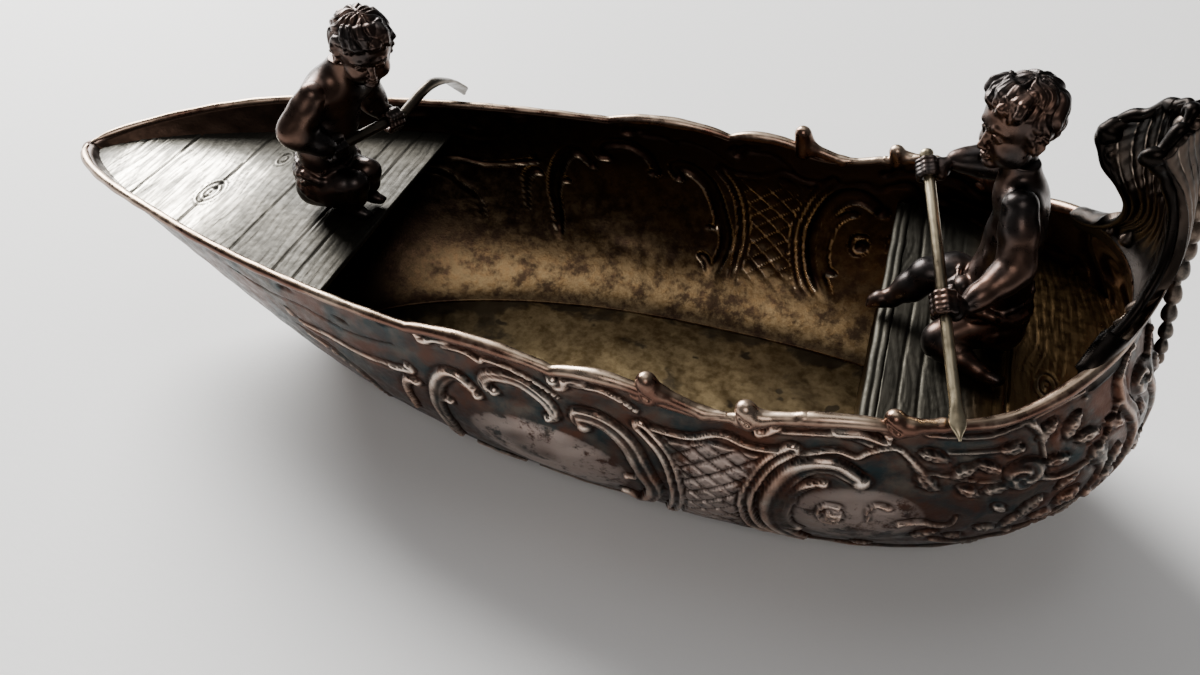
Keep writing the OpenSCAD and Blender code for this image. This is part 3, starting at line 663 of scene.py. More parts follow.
def end_tree(tree, shape, finish, output):
    """Makes the shape a plain smooth mesh of that finish, and ends the group with it."""
    real = add(tree, "GeometryNodeRealizeInstances", [("Geometry", shape)])
    soft = add(tree, "GeometryNodeSetShadeSmooth", [("Geometry", real.outputs[0])])
    done = add(tree, "GeometryNodeSetMaterial", [("Geometry", soft.outputs[0]), ("Material", finish)])
    add(tree, "NodeGroupOutput", [(output, done.outputs[0])])
    return tree


def wire_tree():
    """Geometry Nodes: a round wire along the edges it is given, as thick as the points say."""
    tree, given = node_tree("drawn_wire", "Wire", Path="Geometry", Sides="Int", Finish="Material")
    thick = add(tree, "GeometryNodeInputNamedAttribute", [("Name", "thick")], data_type="FLOAT")
    curve = add(tree, "GeometryNodeMeshToCurve", [("Mesh", given["Path"])])
    ring = add(tree, "GeometryNodeCurvePrimitiveCircle", [("Resolution", given["Sides"]), ("Radius", 1.0)])
    skin = add(tree, "GeometryNodeCurveToMesh",
               [("Curve", curve.outputs[0]), ("Profile Curve", ring.outputs["Curve"]),
                ("Scale", thick.outputs["Attribute"]), ("Fill Caps", True)])
    return end_tree(tree, skin.outputs[0], given["Finish"], "Wire")


drawn_wire = wire_tree()


def grown(name, mesh, tree, values):
    """The plain mesh that a Geometry Nodes tree makes of a mesh, given its named inputs."""
    carrier = bpy.data.objects.new(name, mesh)
    bpy.context.scene.collection.objects.link(carrier)
    modifier = carrier.modifiers.new("grow", "NODES")
    modifier.node_group = tree
    for item in tree.interface.items_tree:
        if item.in_out == "INPUT" and item.name in values:
            modifier[item.identifier] = values[item.name]
    seen = carrier.evaluated_get(bpy.context.evaluated_depsgraph_get())
    made = bpy.data.meshes.new_from_object(seen)
    carrier.modifiers.remove(modifier)
    carrier.data = made
    made.name = name
    return carrier


def wire(name, path, radii, finish, sides=12):
    """A wire along a path in mm."""
    mesh = bpy.data.meshes.new(name + "_path")
    mesh.from_pydata([tuple(p) for p in np.array(path) * 0.001],
                     [(i, i + 1) for i in range(len(path) - 1)], [])
    thick = mesh.attributes.new("thick", "FLOAT", "POINT")
    thick.data.foreach_set("value", (np.array(radii) * 0.001).astype(np.float32))
    return grown(name, mesh, drawn_wire, {"Sides": sides, "Finish": finish})


class Wax:
    """A block of modelling wax on a grid in mm: lumps are pressed on, tools cut in, and skin() casts it."""

    def __init__(self, low, high, step):
        self.low = np.array(low, float)
        self.step = step
        self.count = np.ceil((np.array(high, float) - self.low) / step).astype(int) + 1
        self.field = np.full(self.count, 5.0, np.float32)

    def near(self, low, high):
        """The part of the grid between two corners, and its points."""
        a = np.clip(np.floor((np.array(low) - self.low) / self.step).astype(int), 0, self.count - 1)
        b = np.clip(np.ceil((np.array(high) - self.low) / self.step).astype(int) + 1, 1, self.count)
        cut = tuple(slice(i, j) for i, j in zip(a, b))
        axes = [self.low[k] + self.step * np.arange(a[k], b[k]) for k in range(3)]
        return cut, np.stack(np.meshgrid(*axes, indexing="ij"), -1)

    def join(self, cut, d, soft, sink):
        here = self.field[cut]
        if sink:
            h = clamp(0.5 - 0.5 * (here + d) / soft)
            self.field[cut] = here * (1 - h) - d * h + soft * h * (1 - h)
        else:
            h = clamp(0.5 + 0.5 * (here - d) / soft)
            self.field[cut] = here * (1 - h) + d * h - soft * h * (1 - h)

    def rod(self, points, radii, soft=0.5, sink=False):
        """Round lengths from point to point, each end with its own radius."""
        points = np.array(points, float)
        radii = np.full(len(points), float(radii)) if np.isscalar(radii) else radii
        for a, b, ra, rb in zip(points[:-1], points[1:], radii[:-1], radii[1:]):
            pad = max(ra, rb) + soft + 2 * self.step
            cut, p = self.near(np.minimum(a, b) - pad, np.maximum(a, b) + pad)
            way = b - a
            t = clamp(((p - a) @ way) / max(1e-9, way @ way))
            d = np.linalg.norm(p - a - t[..., None] * way, axis=-1) - (ra + (rb - ra) * t)
            self.join(cut, d, soft, sink)

    def lump(self, centre, size, soft=0.6, sink=False, turn=(0, 0, 0)):
        """An egg with three half sizes, turned by degrees about x, y and z."""
        size = np.array(size, float)
        spin = np.array(Matrix.Rotation(math.radians(turn[2]), 3, "Z")
                        @ Matrix.Rotation(math.radians(turn[1]), 3, "Y")
                        @ Matrix.Rotation(math.radians(turn[0]), 3, "X"))
        pad = size.max() + soft + 2 * self.step
        cut, p = self.near(np.array(centre) - pad, np.array(centre) + pad)
        q = (p - centre) @ spin
        k0 = np.linalg.norm(q / size, axis=-1)
        k1 = np.linalg.norm(q / size ** 2, axis=-1)
        self.join(cut, np.where(k1 > 1e-6, k0 * (k0 - 1) / np.maximum(k1, 1e-6), -size.min()), soft, sink)

    def skin(self):
        """Points and faces of the surface."""
        f = self.field
        f[0], f[-1], f[:, 0], f[:, -1], f[:, :, 0], f[:, :, -1] = 1, 1, 1, 1, 1, 1
        inside = f < 0
        corner = [inside[i:i + self.count[0] - 1, j:j + self.count[1] - 1, k:k + self.count[2] - 1]
                  for i in (0, 1) for j in (0, 1) for k in (0, 1)]
        number = sum(c.astype(np.int8) for c in corner)
        cells = np.argwhere((number > 0) & (number < 8))
        index = np.full(self.count - 1, -1)
        index[tuple(cells.T)] = np.arange(len(cells))
        total = np.zeros((len(cells), 3))
        hits = np.zeros(len(cells))
        for axis in range(3):
            for o1 in (0, 1):
                for o2 in (0, 1):
                    start = np.zeros(3, int)
                    others = [k for k in range(3) if k != axis]
                    start[others[0]], start[others[1]] = o1, o2
                    end = start.copy()
                    end[axis] = 1
                    a = f[tuple((cells + start).T)]
                    b = f[tuple((cells + end).T)]
                    cross = (a < 0) != (b < 0)
                    t = np.where(cross, a / np.where(cross, a - b, 1), 0)
                    p = np.tile(start.astype(float), (len(cells), 1))
                    p[:, axis] = t
                    total += p * cross[:, None]
                    hits += cross
        points = self.low + self.step * (cells + total / np.maximum(hits, 1)[:, None])
        faces = []
        for axis in range(3):
            b, c = [k for k in range(3) if k != axis]
            take = [slice(1, n - 1) for n in self.count]
            ahead = list(take)
            take[axis] = slice(0, self.count[axis] - 1)
            ahead[axis] = slice(1, self.count[axis])
            low, high = inside[tuple(take)], inside[tuple(ahead)]
            for sign, found in ((1, low & ~high), (-1, high & ~low)):
                at = np.argwhere(found)
                at[:, b] += 1
                at[:, c] += 1
                ring = []
                for db, dc in ((0, 0), (-1, 0), (-1, -1), (0, -1)):
                    cell = at.copy()
                    cell[:, b] += db
                    cell[:, c] += dc
                    ring.append(index[tuple(cell.T)])
                quad = np.stack(ring, -1)
                turned = sign * (-1 if axis == 1 else 1)
                faces.append(quad if turned > 0 else quad[:, ::-1])
        return points, np.concatenate(faces)


def relax(points, faces, times):
    """Draws each point a little towards its neighbours, which takes the grid's steps out."""
    a, b = faces.ravel(), np.roll(faces, -1, 1).ravel()
    count = np.bincount(a, minlength=len(points)) + np.bincount(b, minlength=len(points))
    for _ in range(times):
        total = np.stack([np.bincount(a, points[b, k], len(points))
                          + np.bincount(b, points[a, k], len(points)) for k in range(3)], -1)
        points = points * 0.5 + 0.5 * total / np.maximum(count, 1)[:, None]
    return points


def cast(name, wax, finish):
    """The wax cast in metal."""
    points, faces = wax.skin()
    return new_piece(name, relax(points, faces, 2), faces, finish)


def joined(pieces):
    """One object made of several closed meshes; it keeps the first one's name."""
    with bpy.context.temp_override(active_object=pieces[0], selected_editable_objects=pieces):
        bpy.ops.object.join()
    return pieces[0]


KNOBS = {"port": ((33, 1.75, 3.2), (48, 1.75, 2.4), (68, 1.7, 2.0)),
         "starboard": ((43, 1.75, 4.4), (61.5, 1.6, 2.4), (78, 1.5, 2.0))}
for name, lag, side in (("port", 0, -1), ("starboard", 11, 1)):
    t = np.linspace(0, 1, 330)
    u = t - 0.035 * np.sin(2 * np.pi * t)
    px, py = plan(u, 1 + 0 * u, SHEET / 2)
    pz = rim_height(plan(u, 1 + 0 * u)[0], lag) + 0.1
    swell = crest(px, -7 + lag, 18 + lag, 1) + crest(px, 18 + lag, 34 + 0.9 * lag, 1) \
        + crest(px, 49 + lag, 67 + lag, 1)
    path = np.stack([px, (py + 0.55) * side, pz - 0.15], -1)
    thick = 0.86 + 0.32 * swell ** 1.5 + 0.05 * np.sin(px * 0.8) + 0.2 * ease(70, 95, px)
    thick *= ease(0, 0.01, u) * 0.5 + 0.5
    lengths = [wire(f"waved_rim_{name}", path, thick, rim_silver)]
    for k, (x, r, tall) in enumerate(KNOBS[name]):
        i = int(np.argmin(np.abs(px - x)))
        base = path[i] + (0, 0, 0.3)
        aft = path[min(i + 9, 329)] + (0, 0, 0.1)
        fore = path[i - 6]
        wax = Wax(np.minimum(fore, aft) - 3.4, np.maximum(fore, aft) + (3.4, 3.4, 3.4 + tall), 0.17)
        crown = base + (-0.5, 0, tall - 0.9)
        wax.rod([base + (0.3, 0, -0.4), crown], [r * 0.95, r * 0.86], 0.8)
        wax.rod([crown + (0.5, 0, -0.5), base + (1.9, 0, 0.4), aft, path[min(i + 15, 329)]],
                [r * 0.7, 1.15, 0.95, 0.5], 0.9)
        wax.rod([base + (-1.2, 0.15 * side, -1.1), base + (-2.1, 0.3 * side, -0.7)], [0.9, 0.7], 0.6)
        wax.rod([base + (-2.6, 1.1 * side, 0.5), base + (-1.3, 1.25 * side, 0.9),
                 base + (0.4, 1.5 * side, 0.1)], 0.34, 0.3, True)
        lengths.append(cast(f"rim_{name}_bulb_{k}", wax, rim_silver))
    rim = joined(lengths)
    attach(rim, "boat")
    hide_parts(f"rim_{name}")

# ---- Decks
# Silver sheets chased as planks, with seams athwartships, wavy grain and a knot, and soldered in
# between the shells. The rowers' studs pass through them.
deck_silver, tree, shader, place = new_finish("deck_silver")
rub, cavity, brown, _ = wear(tree)
fine = noise(tree, place, 520, 4, 0.65)
cloud = noise(tree, place, 48, 3, 0.5)
drawn_out = add(tree, "ShaderNodeMapping", [("Vector", place), ("Scale", (900, 95, 100))])
streaks = add(tree, "ShaderNodeTexNoise", [("Vector", drawn_out.outputs[0]), ("Scale", 1.0), ("Detail", 4.0)])
streaks = streaks.outputs["Fac"]
colour = tint(tree, spread(tree, cloud, 0.36, 0.64), (0.058, 0.055, 0.046), (0.118, 0.107, 0.086))
colour = tint(tree, brown, colour, tint(tree, cloud, (0.04, 0.026, 0.014), (0.20, 0.12, 0.05)))
# On the decks the rubbed mark also holds a painted highlight, and the dirt mark a painted shade, both laid
# down in deck().
rubbed = sums(tree, "MULTIPLY", rub, spread(tree, streaks, 0.3, 0.7, 0.4, 1.4))
colour = tint(tree, spread(tree, rubbed, 0.25, 1.0), colour, (0.60, 0.56, 0.48))
colour = tint(tree, sums(tree, "MULTIPLY", cavity, 0.86), colour, (0.021, 0.0195, 0.0155))
dull = sums(tree, "ADD", spread(tree, fine, 0.3, 0.7, 0.27, 0.42), spread(tree, cavity, 0.0, 0.8, 0.0, 0.22))
metal(tree, shader, colour, dull, sums(tree, "ADD", sums(tree, "MULTIPLY", streaks, 1.6), fine), 0.5, 0.00012)
DECK_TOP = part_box("foredeck")[1].z * 1000
DECK_SHEET = 1
DECK_ROWS = 150


def planked(seams, knots, wave_scale):
    """Relief of a deck: incised seams and grain that runs athwartships and parts round the knots."""
    def height(px, py):
        bent = px + 0.8 * np.sin(py / 6.3 + px / 9) + 0.35 * np.sin(py / 2.7 + px / 3.1 + 1)
        for kx, ky, size in knots:
            gap = np.hypot(px - kx, (py - ky) / 2.2) / size
            bent = bent + np.sign(px - kx + 0.01) * -1.6 * np.exp(-gap ** 2) * size / 2
        veins = np.sin(bent * 2 * np.pi / wave_scale + 1.4 * np.sin(py / 11 + px / 5))
        veins2 = np.sin(bent * 2 * np.pi / (wave_scale * 0.43) + 2 * np.sin(py / 4.7 + px / 2))
        fade = 0.45 + 0.55 * np.sin(px * 0.9 + 2 * np.sin(py * 0.21)) * np.sin(py * 0.33 + px * 0.4)
        z = -0.10 * clamp(veins) ** 4 * clamp(fade + 0.3) - 0.07 * clamp(veins2) ** 3 * clamp(fade + 0.2)
        for kx, ky, size in knots:
            r = np.hypot(px - kx, (py - ky) / 1.9)
            z = np.where(r < size * 1.1, -0.16 * np.cos(r * 2 * np.pi / 0.9 + 0.5) - 0.05, z)
        for seam in seams:
            z = z - 0.32 * np.exp(-((px - seam - 0.25 * np.sin(py / 9)) / 0.22) ** 2)
        return z + 0.12 * np.sin(px / 7 + py / 13) - 0.12
    return height


def deck(name, x, height, gilt, lit_patch_at, polish):
    """A chased deck at stations x. gilt is how gilt it is at each; the next argument gives at (x, y) where a
    painted pool of light lies on the deck, and polish how bright that painted highlight is."""
    half = level_half(DECK_TOP - DECK_SHEET / 2, x)
    points = plate(x, half, DECK_TOP, DECK_TOP - DECK_SHEET, DECK_ROWS, height)
    piece = new_piece(name, points, two_skins(len(x), DECK_ROWS), deck_silver)
    px, py, pz = points[:len(x) * DECK_ROWS].T.reshape(3, len(x), DECK_ROWS)
    z = pz - DECK_TOP
    soft = blurred(z, 8)
    rub = clamp(0.30 + (z - soft) * 5)
    cavity = clamp((soft - z) * 5 - 0.1)
    golden = gilt[:, None] + 0 * z
    # A painted pool of light: inside it the grain is rubbed brighter, and outside it the deck is darkened,
    # which on the foredeck is painted shade and on the aft deck an even dark tone.
    lit_patch = lit_patch_at(px, py)
    rub = rub * (0.35 + 0.65 * lit_patch) + polish * lit_patch
    cavity = np.maximum(cavity, 0.88 * (1 - lit_patch) * (1 - golden))
    marks = np.stack([rub, cavity, golden, 1 + 0 * z], -1).reshape(-1, 4)
    mark(piece, np.concatenate([marks, np.tile([0, 0.6, 0, 1], (len(marks), 1))]))
    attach(piece, "boat")
    return piece


x = np.linspace(-95.6, -28.6, 230)
chasing = planked((-78.5, -64, -50, -39.4, -34.8), ((-64.2, -5.8, 2.3), (-57, 9, 1.5)), 1.7)
# The foredeck's painted pool of light lies amidships on the near side. Towards the far side, the bow tip and
# the rower the deck is darkened, a painted shade.
fore = deck("planked_foredeck", x, chasing, 0 * x,
            lambda px, py: ease(-46, -66, px) * ease(-99, -84, px) * ease(14, 1, py), 0.32)
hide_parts("foredeck")
x = np.linspace(65.6, 102.4, 150)
chasing = planked((68.6, 71.6, 84.5), ((90, -9, 1.6),), 1.5)
aft = deck("planked_aft_deck", x, chasing, ease(76, 82, x), lambda px, py: 0.02 + 0 * px, 0)
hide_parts("aft_deck")

# ---- Nosing and riser of the aft deck
# A half-round moulding folded over the deck's front edge, and the upright sheet below it that
# closes the stern from the bowl.
AFT_EDGE = 64.0
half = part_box("aft_nosing")[1].y * 1000
t = np.linspace(-1, 1, 60)[:, None]
ring = np.array([(1.55, 0.02), (1.55, -1.9), (0.15, -1.9), (0.15, -1.35), (-0.35, -1.3), (-0.75, -1.0),
                 (-0.86, -0.6), (-0.66, -0.2), (-0.2, 0.02), (0.1, 0.0), (0.32, -0.16), (0.55, -0.16),
                 (0.75, 0.0), (1.1, 0.03)])
px = AFT_EDGE + ring[None, :, 0] + 0.04 * np.sin(t * 23)
pz = DECK_TOP + ring[None, :, 1] + 0.03 * np.sin(t * 31 + ring[None, :, 0])
points = np.stack([px, t * half + 0 * px, pz], -1).reshape(-1, 3)
n = len(ring)
k = np.arange(60 * n).reshape(60, n)
side_faces = np.stack([k[:-1], np.roll(k, -1, 1)[:-1], np.roll(k, -1, 1)[1:], k[1:]], -1).reshape(-1, 4)
first_cap = np.array([(k[0, i + 1], k[0, i], k[0, 0]) for i in range(1, n - 1)])
last_cap = np.array([(k[-1, 0], k[-1, i], k[-1, i + 1]) for i in range(1, n - 1)])
nose_mesh = bpy.data.meshes.new("nosing_strip")
nose_mesh.from_pydata((points * 0.001).tolist(), [],
                      side_faces.tolist() + first_cap.tolist() + last_cap.tolist())
nose_mesh.update()
nosing = bpy.data.objects.new("nosing_strip", nose_mesh)
bpy.context.scene.collection.objects.link(nosing)
nose_mesh.materials.append(deck_silver)
for polygon in nose_mesh.polygons:
    polygon.use_smooth = len(polygon.vertices) == 4
mark(nosing, np.tile([0.15, 0.8, 0.0, 1], (len(points), 1)))
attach(nosing, "boat")
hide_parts("aft_nosing")

RISER_BACK = 65.0
h = np.linspace(0.025, 0.785, 60)
z = np.minimum(DECK_TOP - 2, np.maximum(SHEET, h * sheer(AFT_EDGE)))
shut = (RISER_BACK - MID_X) / (stern_reach(h) - SHEET - MID_X)
side = (half_width(h) - 0.7 * SHEET) * np.sqrt(clamp(1 - shut ** ROUNDNESS))
py = side[:, None] * np.linspace(-1, 1, 90)[None, :]
pz = z[:, None] + 0 * py
dent = 0.1 * np.sin(py * 0.35 + pz * 0.2) + 0.06 * np.sin(pz * 0.9 + py * 0.3)
front = np.stack([RISER_BACK - 0.78 + dent, py, pz], -1)
back = np.stack([RISER_BACK + 0 * py, py, pz], -1)
points = np.concatenate([front.reshape(-1, 3), back.reshape(-1, 3)])
riser = new_piece("riser_sheet", points, two_skins(60, 90), embossed_silver)
marks = np.zeros((len(points), 4))
marks[:, 1] = 0.25
marks[:, 2] = np.concatenate([ease(20, 3, pz).ravel()] * 2) * 0.6
marks[:, 3] = 1
mark(riser, marks)
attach(riser, "boat")
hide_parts("aft_riser")

# ---- Stern leaf
# A cast acanthus leaf, cupped and open towards the bow, soldered on the rim where the two shells
# meet. Flutes run up it and its edges are rolled over.
stern_silver, tree, shader, place = new_finish("stern_silver")
rub, cavity, _, _ = wear(tree)
fine = noise(tree, place, 450, 4, 0.65)
cloud = noise(tree, place, 85, 3, 0.5)
colour = tint(tree, spread(tree, cloud, 0.38, 0.62), (0.042, 0.040, 0.038), (0.090, 0.066, 0.052))
rub = sums(tree, "MULTIPLY", rub, spread(tree, fine, 0.3, 0.65, 0.5, 1.3))
colour = tint(tree, spread(tree, rub, 0.2, 1.0), colour, (0.50, 0.40, 0.32))
colour = tint(tree, cavity, colour, (0.010, 0.008, 0.007))
metal(tree, shader, colour, spread(tree, fine, 0.3, 0.7, 0.26, 0.42), fine, 0.4, 0.00012)


LEAF_FAR = smooth(((91.9, 19.2, 46.7), (93.9, 15.2, 48.3), (95.0, 11.6, 50.6), (95.0, 8.0, 54.4),
                   (93.6, 5.0, 58.8), (91.4, 3.2, 62.2), (89.0, 3.0, 64.8), (87.4, 3.9, 67.0),
                   (87.0, 4.7, 68.8), (87.8, 5.3, 70.8)), 8)
LEAF_SPINE = smooth(((97.6, 0, 49.0), (98.6, 0, 51.2), (98.9, 0, 53.8), (98.6, 0, 56.8), (98.0, 0, 60),
                     (97.2, 0, 63.2), (96.3, 0, 66.4), (95.4, 0, 69.6), (94.5, 0, 72.4), (93.8, 0, 75.2)),
                     8)
LEAF_NEAR = smooth(((91.9, -19.2, 46.7), (94.6, -15.2, 48.5), (96.6, -11.6, 51.0), (97.8, -8.0, 54.8),
                    (98.0, -5.6, 59), (97.2, -4.4, 63), (95.6, -4.2, 66.6), (93.9, -4.2, 69.2),
                    (92.4, -4.5, 71.0), (91.4, -4.7, 72.6)), 8)


def leaf_front(s, v):
    """Point on the leaf's front; s is 0 at the starboard edge and 1 at the port edge, v 0 at the rim and
    1 at the top. Below the rim it lines the inside of the shell."""
    s, v = np.broadcast_arrays(np.asarray(s, float), np.asarray(v, float))
    at = np.linspace(0, 1, len(LEAF_FAR))

    def level(v):
        far, spine, near = (np.stack([np.interp(v, at, edge[:, k]) for k in range(3)], -1)
                            for edge in (LEAF_FAR, LEAF_SPINE, LEAF_NEAR))
        t = s[..., None]
        return (1 - t) ** 2 * far + 2 * t * (1 - t) * (2 * spine - (far + near) / 2) + t ** 2 * near

    y = 19.2 * np.cos(np.pi * s) * (1 - 0.12 * np.sin(np.pi * s) ** 2)
    x = MID_X + 65.3 * (1 - (y / 34.3) ** 2) ** (1 / ROUNDNESS)
    foot = np.stack([x, y, rim_height(x, 4) + 0.5], -1) - level(0 * v)
    foot *= ease(0.45, 0.0, v)[..., None]
    below = np.stack([-0.5 * v, -0.3 * v * np.cos(np.pi * s), v], -1) * np.where(v < 0, 30, 0)[..., None]
    top = np.array((0, 0, 2.2)) * (clamp(v) ** 3 * np.sin(np.pi * s))[..., None]
    return level(clamp(v)) + foot + below + top


def surface_marks(points, faces, gain):
    """Rub on what stands out and dirt in what lies deep, measured against a smoothed copy."""
    normal = np.zeros_like(points)
    face_normal = np.cross(points[faces[:, 2]] - points[faces[:, 0]],
                           points[faces[:, 3]] - points[faces[:, 1]])
    for k in range(4):
        for axis in range(3):
            normal[:, axis] += np.bincount(faces[:, k], face_normal[:, axis], len(points))
    normal /= np.maximum(1e-9, np.linalg.norm(normal, axis=1, keepdims=True))
    out = ((points - relax(points, faces, 14)) * normal).sum(1)
    return np.stack([clamp(out * gain - 0.05), clamp(-out * gain * 1.2 - 0.05), 0 * out, 0 * out + 1], -1)


LEAF_COLUMNS = 120
LEAF_ROWS = 150
s = np.linspace(0, 1, LEAF_COLUMNS)[:, None, None]
v = np.linspace(-0.09, 1, LEAF_ROWS)[None, :, None]
front = leaf_front(s[..., 0], v[..., 0])
normal = np.cross(np.gradient(front, axis=0), np.gradient(front, axis=1))
normal /= np.maximum(1e-9, np.linalg.norm(normal, axis=2, keepdims=True))
normal *= -np.sign(normal[60, 90, 0])
flutes = np.abs(np.sin((s - 0.5 + 0.03 * np.sin(v * 5)) * 44 + 2 * v)) ** 0.6 * ease(0.05, 0.3, v)
fold = np.exp(-((s - 0.62 + 0.14 * v) / 0.03) ** 2) * ease(0.3, 0.5, v)
fold = fold + 0.6 * np.exp(-((s - 0.26 - 0.10 * v) / 0.03) ** 2) * ease(0.35, 0.6, v)
veins = np.sin(v * 90 + np.abs(s - 0.5) * 34) * 0.06 * ease(0.4, 0.6, v)
ragged = 0.8 * np.sin(s * 31) * ease(0.8, 1.0, v)
edge = (ease(0.10, 0.0, s) + ease(0.90, 1.0, s)) * ease(0.1, 0.3, v) + ease(0.93, 1.0, v)
face_lift = 0.42 * flutes + 0.9 * fold + veins + 0.5 * np.minimum(edge, 1)
front_skin = front + normal * face_lift + np.array((0, 0, 1.0)) * ragged * 0.5
thick = 1.45 + 0.30 * flutes + 0.25 * veins + 0.6 * ease(0.3, 0.0, v) * ease(-0.06, 0.02, v)
thick = thick * (1 - 0.6 * (1 - ease(0, 0.1, s) * ease(1, 0.9, s)) * ease(0.2, 0.05, v))
back_skin = front - normal * thick + np.array((0, 0, 1.0)) * ragged * 0.5
points = np.concatenate([front_skin.reshape(-1, 3), back_skin.reshape(-1, 3)])
faces = two_skins(LEAF_COLUMNS, LEAF_ROWS)
leaf = new_piece("cast_leaf", points, faces, stern_silver)
marks = surface_marks(points, faces, 4)
deep = (0.12 + 0.8 * ease(0.55, 0.15, v) + 0 * s).ravel()
marks[:len(deep), 1] = clamp(marks[:len(deep), 1] + deep)
mark(leaf, marks)
v = np.linspace(0.02, 1, 70)
edges = []
for name, s, lean in (("starboard", 0.0, 0.3), ("port", 1.0, -0.3)):
    line = leaf_front(s + 0 * v, v)
    line[:, 0] -= 0.25
    roll = 0.72 + 0.45 * ease(0.6, 0.9, v) + 0.2 * np.sin(v * 30) * ease(0.5, 0.8, v)
    roll *= (1 - 0.45 * ease(0.96, 1, v)) * (0.35 + 0.65 * ease(0.0, 0.12, v))
    edges.append(wire(f"leaf_edge_{name}", line, roll, stern_silver, 14))
s = np.linspace(0, 1, 70)
line = leaf_front(s, 0 * s + 1.0) + np.outer(np.sin(s * 31), (0, 0, 0.35))
edges.append(wire("leaf_lip", line, 0.95 + 0.3 * np.sin(s * 24) * np.sin(np.pi * s), stern_silver, 14))
wax = Wax((83, -8, 64), (100, 9, 80), 0.2)
for centre, size, turn in (((87.2, 4.4, 69.6), (1.9, 1.5, 1.5), 20), ((88.9, 5.2, 70.8), (1.6, 1.3, 1.4), 0),
                           ((91.2, -4.7, 72.0), (1.9, 1.3, 1.5), -20)):
    wax.lump(centre, size, 0.7, turn=(0, turn, 0))
wax.rod(((86.6, 4.0, 68.6), (87.4, 4.9, 70.6), (89.6, 5.1, 71.6), (91.6, 3.4, 73.4)), (0.8, 1.0, 0.9, 0.6),
        0.6)
wax.rod(((88.6, 5.4, 69.2), (87.6, 5.9, 70.0), (88.4, 6.2, 71.2)), 0.32, 0.3, True)
edges.append(cast("leaf_curls", wax, stern_silver))
leaf = joined([leaf, *edges])
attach(leaf, "boat")
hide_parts("stern_leaf")

# ---- Stern scroll
# A round bar bent to a C with bulbs at its ends, soldered to the leaf's top.
turns = np.linspace(0, 1, 90)
angle = np.radians(150 - 330 * turns)
bow = 4.6 - 1.2 * turns ** 2
centre = np.array((98.4, -0.6, 72.6))
path = centre + np.stack([bow * np.cos(angle), 0.35 * np.sin(turns * 9), bow * np.sin(angle)], -1)
wax = Wax((91, -4, 64), (106, 4, 80), 0.17)
wax.rod(path, 1.3 - 0.35 * turns + 0.16 * np.sin(turns * 34), 0.3)
wax.lump(path[0], (1.7, 1.6, 1.7), 0.8)
wax.lump(path[-1], (1.6, 1.5, 1.5), 0.7)
wax.rod(path[18:76] + np.array((0, -1.25, 0)), 0.3, 0.3, True)
wax.rod(path[18:76] + np.array((0, 1.25, 0)), 0.3, 0.3, True)
wax.rod(((96.6, -0.6, 69.4), (97.6, -0.6, 67.6), (98.0, -0.6, 65.6)), (1.2, 1.5, 1.2), 0.8)
points, faces = wax.skin()
points = relax(points, faces, 2)
scroll = new_piece("c_scroll", points, faces, stern_silver)
mark(scroll, surface_marks(points, faces, 3))
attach(scroll, "boat")
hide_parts("stern_scroll")


# ---- Husks
# A garland of bell husks hangs from the scroll down the seam of the stern, each one tucked into
# the next and smaller than it. Three pearls are soldered on either side at the foot of the leaf.
def husk_tree():
    """Geometry Nodes: a husk at every point, turned along its way and as large as it says."""
    tree, given = node_tree("husk_row", "Row", Points="Geometry", Slimness="Float", Finish="Material")
    ball = add(tree, "GeometryNodeMeshUVSphere", [("Segments", 20), ("Rings", 14), ("Radius", 1.0)])
    spot = add(tree, "GeometryNodeInputPosition").outputs[0]
    high = add(tree, "ShaderNodeSeparateXYZ", [("Vector", spot)]).outputs["Z"]
    swell = sums(tree, "MULTIPLY_ADD", high, -0.38)
    swell.node.inputs[2].default_value = 0.72
    flare = add(tree, "ShaderNodeCombineXYZ", [(0, swell), (1, swell), (2, 1.0)])
    belled = add(tree, "ShaderNodeVectorMath", [(0, spot), (1, flare.outputs[0])], operation="MULTIPLY")
    bell = add(tree, "GeometryNodeSetPosition",
               [("Geometry", ball.outputs["Mesh"]), ("Position", belled.outputs[0])])
    size = add(tree, "ShaderNodeCombineXYZ", [(0, 1.0), (1, 1.0), (2, given["Slimness"])])
    slim = add(tree, "GeometryNodeTransform", [("Geometry", bell.outputs[0]), ("Scale", size.outputs[0])])
    big = add(tree, "GeometryNodeInputNamedAttribute", [("Name", "big")], data_type="FLOAT")
    way = add(tree, "GeometryNodeInputNamedAttribute", [("Name", "way")], data_type="FLOAT_VECTOR")
    turn = add(tree, "FunctionNodeAlignRotationToVector", [("Vector", way.outputs["Attribute"])], axis="Z")
    row = add(tree, "GeometryNodeInstanceOnPoints",
              [("Points", given["Points"]), ("Instance", slim.outputs[0]),
               ("Rotation", turn.outputs[0]), ("Scale", big.outputs["Attribute"])])
    return end_tree(tree, row.outputs[0], given["Finish"], "Row")


husk_row = husk_tree()


def row_of(name, points, ways, sizes, slimness):
    """Husks at the points in mm, each turned along its way."""
    mesh = bpy.data.meshes.new(name + "_points")
    mesh.from_pydata([tuple(p) for p in np.array(points) * 0.001], [], [])
    big = mesh.attributes.new("big", "FLOAT", "POINT")
    big.data.foreach_set("value", (np.array(sizes) * 0.001).astype(np.float32))
    way = mesh.attributes.new("way", "FLOAT_VECTOR", "POINT")
    way.data.foreach_set("vector", np.array(ways, np.float32).ravel())
    return grown(name, mesh, husk_row, {"Slimness": slimness, "Finish": stern_silver})


